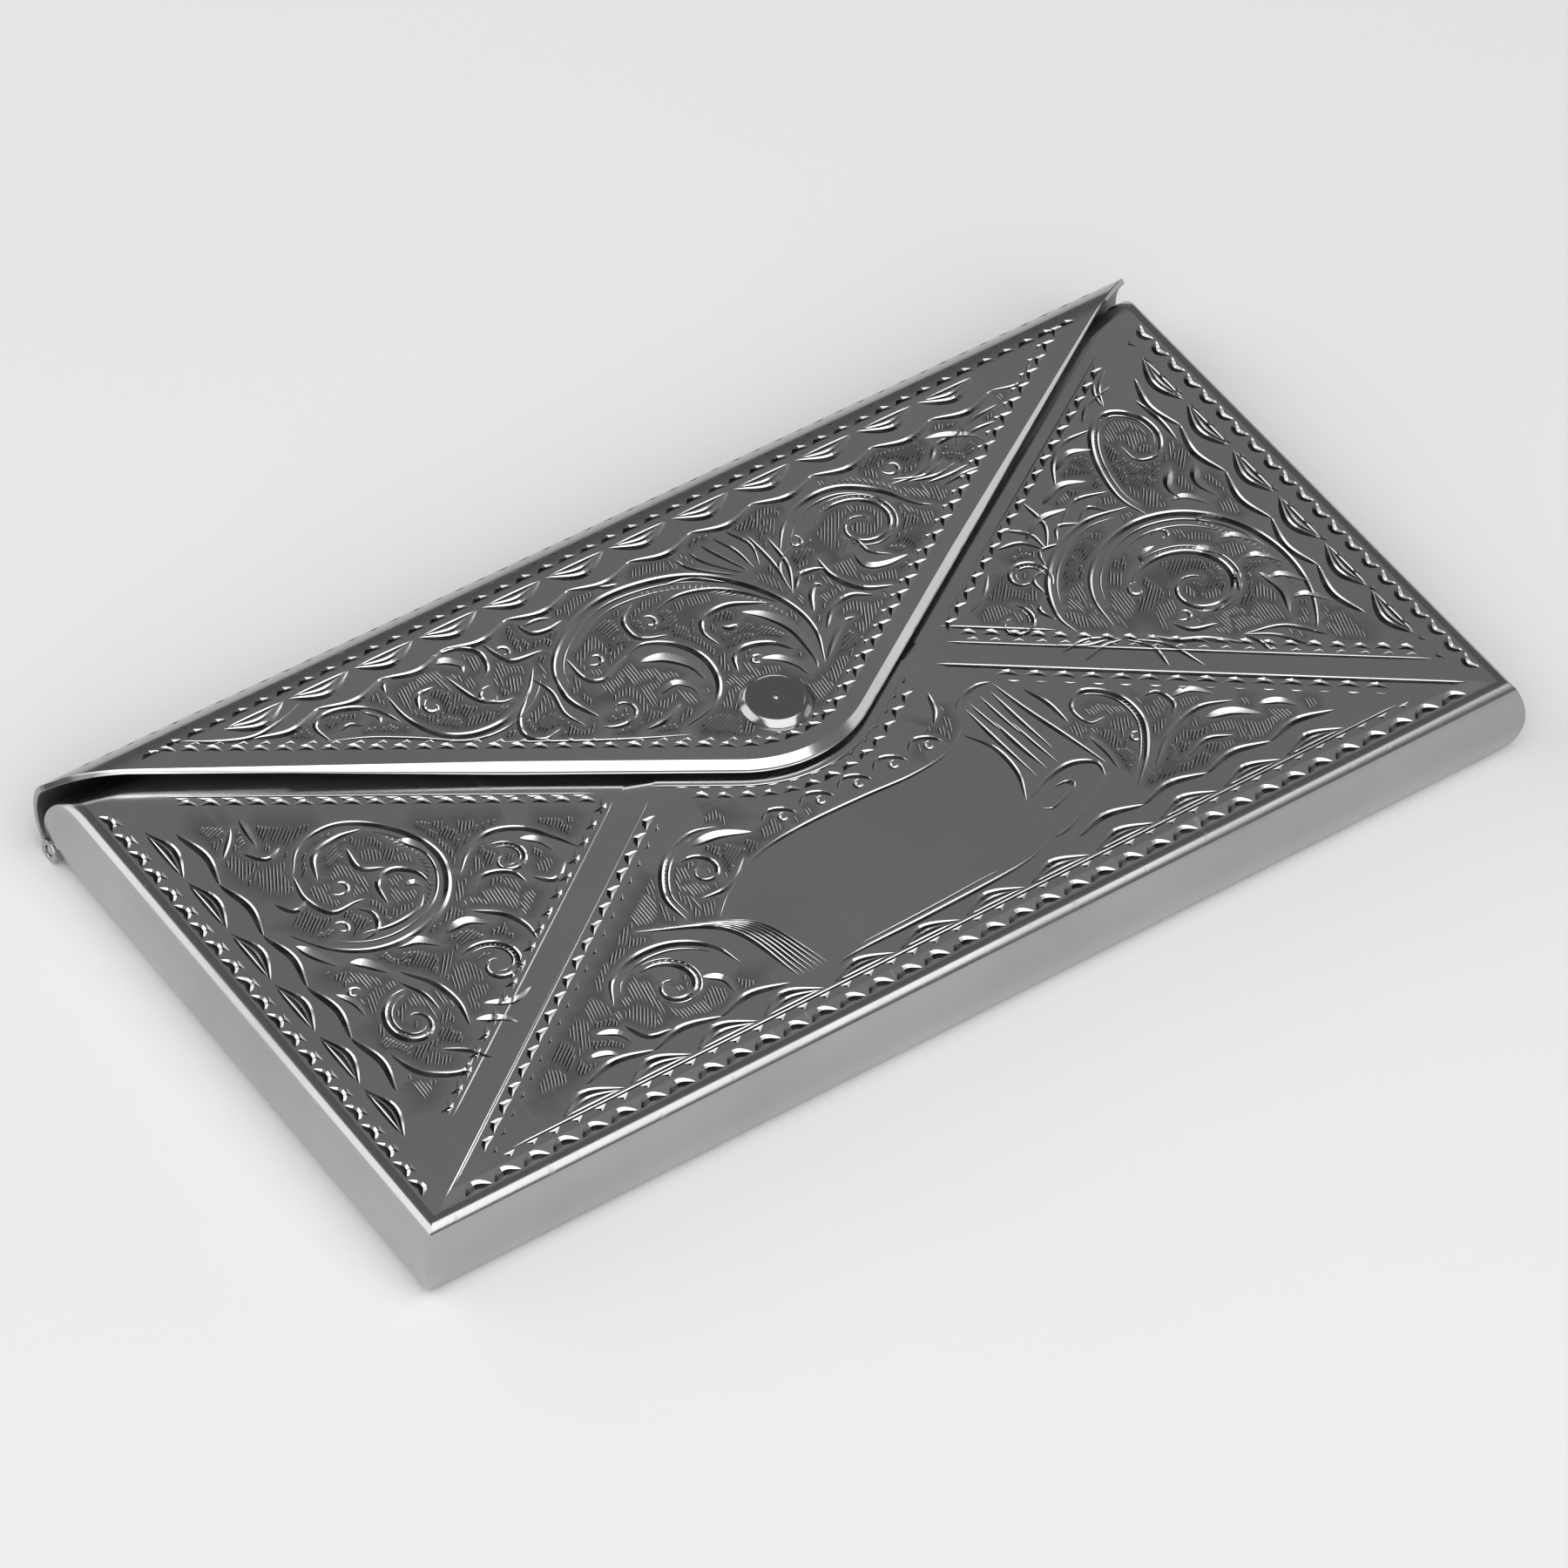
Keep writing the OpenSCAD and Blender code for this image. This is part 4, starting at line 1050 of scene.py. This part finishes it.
def outward(ob):
    bm = bmesh.new()
    bm.from_mesh(ob.data)
    bmesh.ops.remove_doubles(bm, verts=bm.verts, dist=1e-7)
    bmesh.ops.recalc_face_normals(bm, faces=bm.faces)
    bm.to_mesh(ob.data)
    bm.free()


def front_rim():
    out, inn = rim_profile(0), rim_profile(SHEET)

    def ring(p, f):
        return np.c_[f * (PLATE_X + p[:, 0]), PLATE_Y - p[:, 0], p[:, 1]]

    fs = np.r_[-1, np.linspace(-0.995, 0.995, 24), 1]
    return strip("rounded_rim_front", [ring(out, f) for f in fs] + [ring(inn, f) for f in (1, -1)])


def side_rim(name, s):
    out, inn = rim_profile(0), rim_profile(SHEET)

    def rear(z, inset):
        y = NOSE_Y + np.sqrt(np.maximum((MID_Z - inset)**2 - (z - MID_Z)**2, 0))
        tube = HINGE_Y - np.sqrt(np.maximum((HINGE_R + 0.02)**2 - (z - HINGE_R)**2, 0))
        return np.where(z < 2 * HINGE_R, np.minimum(y, tube - inset * 0.6), y)

    def ring(p, y, u=None):
        return np.c_[s * (PLATE_X + (p[:, 0] if u is None else u)), y, p[:, 1]]

    front, end = PLATE_Y - out[:, 0], rear(out[:, 1], 0)
    rings = [ring(out, front), ring(out, front + 0.4)]
    rings += [ring(out, front + (end - front) * f) for f in np.linspace(0.05, 0.97, 16)]
    soft = 0.3
    rings += [ring(out, end - soft * (1 - math.sin(a)), np.maximum(out[:, 0] - soft * (1 - math.cos(a)), 0))
              for a in np.radians([20, 45, 70, 90])]
    rings += [ring(out, end, np.maximum(out[:, 0] - soft, 0) * f) for f in (0.5, 0)]
    far = rear(inn[:, 1], SHEET)
    rings += [ring(inn, far, inn[:, 0] * f) for f in (0, 1)] + [ring(inn, PLATE_Y - inn[:, 0])]
    return strip(name, rings)


def lathe(name, profile, centre, axis="Z", seg=96, crease=30):
    """Closed turned piece: profile is a closed loop of (radius, along)."""
    p = np.array(profile, float)
    k = np.arange(seg) * 2 * math.pi / seg
    pos = []
    for r, h in p:
        x, y = r * np.cos(k), r * np.sin(k)
        h = np.full(seg, h)
        pos.append(np.c_[x + centre[0], y + centre[1], h] if axis == "Z"
                   else np.c_[h, x + centre[0], y + centre[1]])
    n = len(p)
    faces = []
    for i in range(n):
        a, b = i * seg, (i + 1) % n * seg
        if p[i][0] < 1e-9 and p[(i + 1) % n][0] < 1e-9:
            continue
        faces += [(a + j, a + (j + 1) % seg, b + (j + 1) % seg, b + j) for j in range(seg)]
    ob = finish_mesh(name, np.vstack(pos), faces, crease)
    outward(ob)
    bm = bmesh.new()
    bm.from_mesh(ob.data)
    for e in bm.edges:
        e.smooth = not (len(e.link_faces) == 2 and e.calc_face_angle(0) > math.radians(crease))
    bm.to_mesh(ob.data)
    bm.free()
    return ob


def knuckle(name, node):
    lo, hi = box_mm(node)
    c = 0.09
    mid = [(HINGE_R, x) for x in np.linspace(lo[0] + c * 2, hi[0] - c * 2, 5)]
    end = [(TUBE_BORE, 0.05), (TUBE_BORE + 0.06, 0), (HINGE_R - c, 0), (HINGE_R - c * 0.3, c * 0.3),
           (HINGE_R, c)]
    ends = [(q, lo[0] + x) for q, x in end], [(q, hi[0] - x) for q, x in end[::-1]]
    return lathe(name, ends[0] + mid + ends[1], (HINGE_Y, HINGE_R), "X", 72)


def pin():
    lo, hi = box_mm("hinge_pin")
    r = PIN_R
    dome = [(0, 0), (r * 0.5, 0.02), (r * 0.85, 0.09), (r, 0.24)]
    return lathe("drawn_pin", [(q, lo[0] + h) for q, h in dome] + [(q, hi[0] - h) for q, h in dome[::-1]],
                 (HINGE_Y, HINGE_R), "X", 48)


def seal():
    z, top, r = seal_lo[2], seal_hi[2], seal_hi[0]
    edge = [(0.03, 0), (0, 0.04), (0, 0.1), (0.04, 0.17), (0.12, 0.27), (0.36, 0.51), (0.46, 0.59),
            (0.57, 0.63), (0.68, 0.64), (0.74, 0.61), (0.8, 0.6)]
    prof = [(0.5, z)] + [(r - q, z + h) for q, h in edge]
    prof += [(r * f, z + 0.6 - 0.03 * (1 - f)) for f in (0.5, 0.3)]
    prof += [(0.62, z + 0.57), (0.56, z + 0.55), (0.5, z + 0.57), (0.22, z + 0.57), (0.13, top - 0.04),
             (0.06, top), (0, top), (0, top - 0.3), (0.5, top - 0.3)]
    return lathe("round_seal", prof, (0, SEAL_Y), "Z", 128)


def snap_pieces():
    z = stud_hi[2]
    ball, neck, disc = 0.55, 0.34, 1.5
    zc = stud_lo[2] + ball
    under = FLAP_TOP - SHEET
    prof = [(0, stud_lo[2])]
    prof += [(ball * math.sin(a), zc - ball * math.cos(a)) for a in np.linspace(0.15, 2.45, 14)]
    prof += [(neck, under - 0.34), (0.42, under - 0.26), (disc - 0.12, under - 0.25), (disc, under - 0.13),
             (disc, under), (0.49, under), (0.49, z), (0, z)]
    stud = lathe("stud_ball", prof, (0, SEAL_Y))
    r, f = eyelet_hi[0] - 0.85, eyelet_hi[0]
    lo, hi = eyelet_lo[2], eyelet_hi[2]
    rim = [(r, lo), (EYELET_R - 0.01, lo), (EYELET_R - 0.01, hi - 0.2), (f, hi - 0.2), (f, hi - 0.12)]
    rim += [(f - 0.1, hi - 0.03), (f - 0.25, hi), (r + 0.25, hi), (r + 0.08, hi - 0.05), (r, hi - 0.16)]
    eyelet = lathe("socket_ring", rim, (0, SEAL_Y))
    c, b, t = cup_hi[0], cup_lo[2], cup_hi[2]
    dish = [(0, b), (c - 0.15, b), (c, b + 0.15), (c, t), (c - 0.2, t), (c - 0.2, b + 0.25),
            (c - 0.3, b + 0.2), (0, b + 0.2)]
    cup = lathe("socket_dish", dish, (0, SEAL_Y))
    return stud, eyelet, cup


# ---- materials ----

class Nodes:
    def __init__(self, name):
        self.mat = bpy.data.materials.new(name)
        self.mat.use_nodes = True
        self.tree = self.mat.node_tree
        self.bsdf = self.tree.nodes["Principled BSDF"]

    def new(self, kind, **inputs):
        node = self.tree.nodes.new(kind)
        for key, value in inputs.items():
            if hasattr(node, key):
                setattr(node, key, value)
            else:
                self.put(value, node.inputs[key.replace("_", " ")])
        return node

    def put(self, value, socket):
        if isinstance(value, bpy.types.NodeSocket):
            self.tree.links.new(value, socket)
        else:
            socket.default_value = value

    def place(self, stretch=(1, 1, 1)):
        co = self.new("ShaderNodeTexCoord")
        m = self.new("ShaderNodeMapping")
        self.put(co.outputs["Object"], m.inputs["Vector"])
        m.inputs["Scale"].default_value = stretch
        return m.outputs[0]

    def noise(self, scale, detail=3.0, rough=0.5, stretch=(1, 1, 1)):
        return self.new("ShaderNodeTexNoise", Vector=self.place(stretch), Scale=scale, Detail=detail,
                        Roughness=rough).outputs["Fac"]

    def attr(self, name):
        return self.new("ShaderNodeAttribute", attribute_name=name).outputs["Fac"]

    def math(self, op, a, b=0.0, clamp=False):
        node = self.new("ShaderNodeMath", operation=op, use_clamp=clamp)
        self.put(a, node.inputs[0])
        self.put(b, node.inputs[1])
        return node.outputs[0]

    def span(self, value, lo, hi, to_lo=0.0, to_hi=1.0):
        node = self.new("ShaderNodeMapRange")
        for k, v in enumerate((value, lo, hi, to_lo, to_hi)):
            self.put(v, node.inputs[k])
        return node.outputs[0]

    def mix(self, f, a, b):
        node = self.new("ShaderNodeMix", data_type="RGBA")
        self.put(f, node.inputs[0])
        self.put(a, node.inputs[6])
        self.put(b, node.inputs[7])
        return node.outputs[2]


def grey(v, warm=0.0):
    return (v * (1 + warm), v, v * (1 - warm), 1)


def silver(name, tone, rough, engraved=False, wear=0.6):
    m = Nodes(name)
    blotch = m.noise(55, 4, 0.55)
    fine = m.noise(1400, 2, 0.6)
    scratch_a = m.span(m.noise(900, 2, 0.6, (1, 0.035, 1)), 0.64, 0.72)
    scratch_b = m.span(m.noise(1100, 2, 0.6, (0.03, 1, 1)), 0.65, 0.73)
    scratch = m.math("MULTIPLY", m.math("MAXIMUM", scratch_a, scratch_b), wear)
    tone_in = m.mix(m.span(blotch, 0.35, 0.7), grey(tone, 0.004), grey(tone * 0.86, 0.006))
    roughness = m.math("ADD", m.span(blotch, 0.3, 0.75, rough * 0.8, rough * 1.35),
                       m.math("MULTIPLY", scratch, 0.1))
    height = m.math("SUBTRACT", m.math("MULTIPLY", fine, 0.35), scratch)
    if engraved:
        # darkening of the engraving: patina by cut depth, tarnish plus painted shade in grooves and pits, and
        # painted shade on walls facing away from the light (dark attribute)
        cut = m.span(m.attr("cut"), 0.05, 0.2, 0.0, 0.25)
        tarnish_and_shade = m.math("ADD", m.math("MULTIPLY", m.attr("dark"), 0.97),
                      m.math("MAXIMUM", cut, m.math("MULTIPLY", m.attr("groove_tarnish_shade"), 0.75)))
        tarnish_and_shade_amount = m.math("MULTIPLY", tarnish_and_shade, m.span(m.noise(700, 3), 0.3, 0.6, 0.85, 1.0), True)
        # painted shade: the rolled spine is darkened
        tone_in = m.mix(m.math("MULTIPLY", m.attr("spine"), 0.6), tone_in, grey(0.16, 0.01))
        # tarnish plus painted shade: the marked parts go nearly black
        tone_in = m.mix(tarnish_and_shade_amount, tone_in, grey(0.02, 0.03))
        tone_in = m.mix(m.math("MULTIPLY", m.attr("inner"), 0.7), tone_in, grey(0.3, 0.02))
        satin = m.math("ADD", m.math("MULTIPLY", tarnish_and_shade_amount, 0.35), m.math("MULTIPLY", m.attr("inner"), 0.28))
        roughness = m.math("ADD", roughness, satin)
    m.put(tone_in, m.bsdf.inputs["Base Color"])
    m.put(roughness, m.bsdf.inputs["Roughness"])
    m.bsdf.inputs["Metallic"].default_value = 1.0
    bump = m.new("ShaderNodeBump", Strength=0.12, Distance=0.00002, Height=height)
    m.put(bump.outputs[0], m.bsdf.inputs["Normal"])
    return m.mat


def floor_material():
    m = Nodes("pale_floor")
    m.put(m.mix(m.span(m.noise(6, 3), 0.3, 0.7), (0.80, 0.80, 0.80, 1), (0.83, 0.83, 0.83, 1)),
          m.bsdf.inputs["Base Color"])
    m.bsdf.inputs["Roughness"].default_value = 0.75
    return m.mat


materials = {
    "engraved_silver": silver("engraved_silver", 0.74, 0.17, True),
    "lid_silver": silver("lid_silver", 0.74, 0.17, True),
    "back_silver": silver("back_silver", 0.72, 0.2, True),
    # rims: the same silver with a darker colour, painted shade for the darker reflection on the rims
    "polished_silver": silver("polished_silver", 0.45, 0.19, wear=0.9),
    "hinge_silver": silver("hinge_silver", 0.45, 0.24),
    "pin_metal": silver("pin_metal", 0.56, 0.3),
    "snap_metal": silver("snap_metal", 0.7, 0.2),
    "spring_wire": silver("spring_wire", 0.5, 0.25),
    # seal: the same silver with a darker colour, painted shade for the seal's dark top
    "seal_silver": silver("seal_silver", 0.42, 0.16, wear=0.4),
}


def place(ob, body, slot, *nodes):
    ob.data.materials.clear()
    ob.data.materials.append(materials[slot])
    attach(ob, body)
    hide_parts(*nodes)
    loose = sum(1 for e in edge_use(ob) if e != 2)
    if loose:
        print("OPEN EDGES", ob.name, loose)


def edge_use(ob):
    bm = bmesh.new()
    bm.from_mesh(ob.data)
    use = [len(e.link_faces) for e in bm.edges]
    bm.free()
    return use


place(front_sheet(), "case", "engraved_silver", "front_plate")
place(flap_sheet(), "lid", "lid_silver", "flap")
place(back_sheet(), "case", "back_silver", "back_plate")
place(front_rim(), "case", "polished_silver", "front_rim")
place(side_rim("rounded_rim_left", -1), "case", "polished_silver", "left_rim")
place(side_rim("rounded_rim_right", 1), "case", "polished_silver", "right_rim")
place(seal(), "lid", "seal_silver", "seal_cap")
stud, eyelet, cup = snap_pieces()
place(stud, "lid", "snap_metal", "snap_stud")
place(eyelet, "case", "snap_metal", "socket_eyelet")
place(cup, "case", "snap_metal", "socket_cup")
place(pin(), "case", "pin_metal", "hinge_pin")
for k in range(4):
    place(knuckle(f"tube_case_{k + 1}", f"body_knuckle_{k + 1}"), "case", "hinge_silver",
          f"body_knuckle_{k + 1}")
for k in range(3):
    place(knuckle(f"tube_lid_{k + 1}", f"lid_knuckle_{k + 1}"), "lid", "hinge_silver",
          f"lid_knuckle_{k + 1}")
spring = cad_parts["snap_spring"]
spring.data.materials.clear()
spring.data.materials.append(materials["spring_wire"])

# ---- floor, light and camera ----

bm = bmesh.new()
bmesh.ops.create_grid(bm, x_segments=20, y_segments=20, size=2.5)
floor_mesh = bpy.data.meshes.new("floor")
bm.to_mesh(floor_mesh)
bm.free()
floor = bpy.data.objects.new("floor", floor_mesh)
bpy.context.collection.objects.link(floor)
floor.location.z = -0.00002
floor_mesh.materials.append(floor_material())


def softbox(name, direction, distance, size, watts):
    data = bpy.data.lights.new(name, "AREA")
    data.shape, data.size, data.energy = "SQUARE", size, watts
    ob = bpy.data.objects.new(name, data)
    d = Vector(direction).normalized()
    ob.location = d * distance
    ob.rotation_euler = d.to_track_quat("Z", "Y").to_euler()
    bpy.context.collection.objects.link(ob)


softbox("main_softbox", (-0.15, -0.55, 0.8), 1.0, 1.5, 14.0)
softbox("rear_softbox", (-0.12, 0.9, 0.33), 1.0, 0.45, 1.0)
softbox("left_softbox", (-0.78, 0.5, 0.42), 1.0, 0.9, 4.0)
softbox("right_softbox", (0.93, -0.35, 0.14), 1.0, 0.5, 0.5)

world = bpy.data.worlds.new("studio")
bpy.context.scene.world = world
world.use_nodes = True
world.node_tree.nodes["Background"].inputs["Color"].default_value = (0.178, 0.178, 0.178, 1)
world.node_tree.nodes["Background"].inputs["Strength"].default_value = 1.0

AZIMUTH, ELEVATION, ROLL, DISTANCE = -38.09, 47.85, 4.11, 0.704
az, el, roll = (math.radians(v) for v in (AZIMUTH, ELEVATION, ROLL))
back = Vector((math.sin(az) * math.cos(el), -math.cos(az) * math.cos(el), math.sin(el)))
right = Vector((math.cos(az), math.sin(az), 0))
up = back.cross(right)
cam_x = right * math.cos(roll) + up * math.sin(roll)
cam_y = back.cross(cam_x)
camera = bpy.data.objects.new("camera", bpy.data.cameras.new("camera"))
bpy.context.collection.objects.link(camera)
camera.matrix_world = Matrix((
    (cam_x.x, cam_y.x, back.x, back.x * DISTANCE),
    (cam_x.y, cam_y.y, back.y, back.y * DISTANCE),
    (cam_x.z, cam_y.z, back.z, back.z * DISTANCE),
    (0, 0, 0, 1)))
camera.data.lens, camera.data.sensor_width = 210, 36
camera.data.shift_y = 0.00825
camera.data.clip_start, camera.data.clip_end = 0.05, 20
bpy.context.scene.camera = camera
bpy.context.scene.view_settings.view_transform = "Standard"
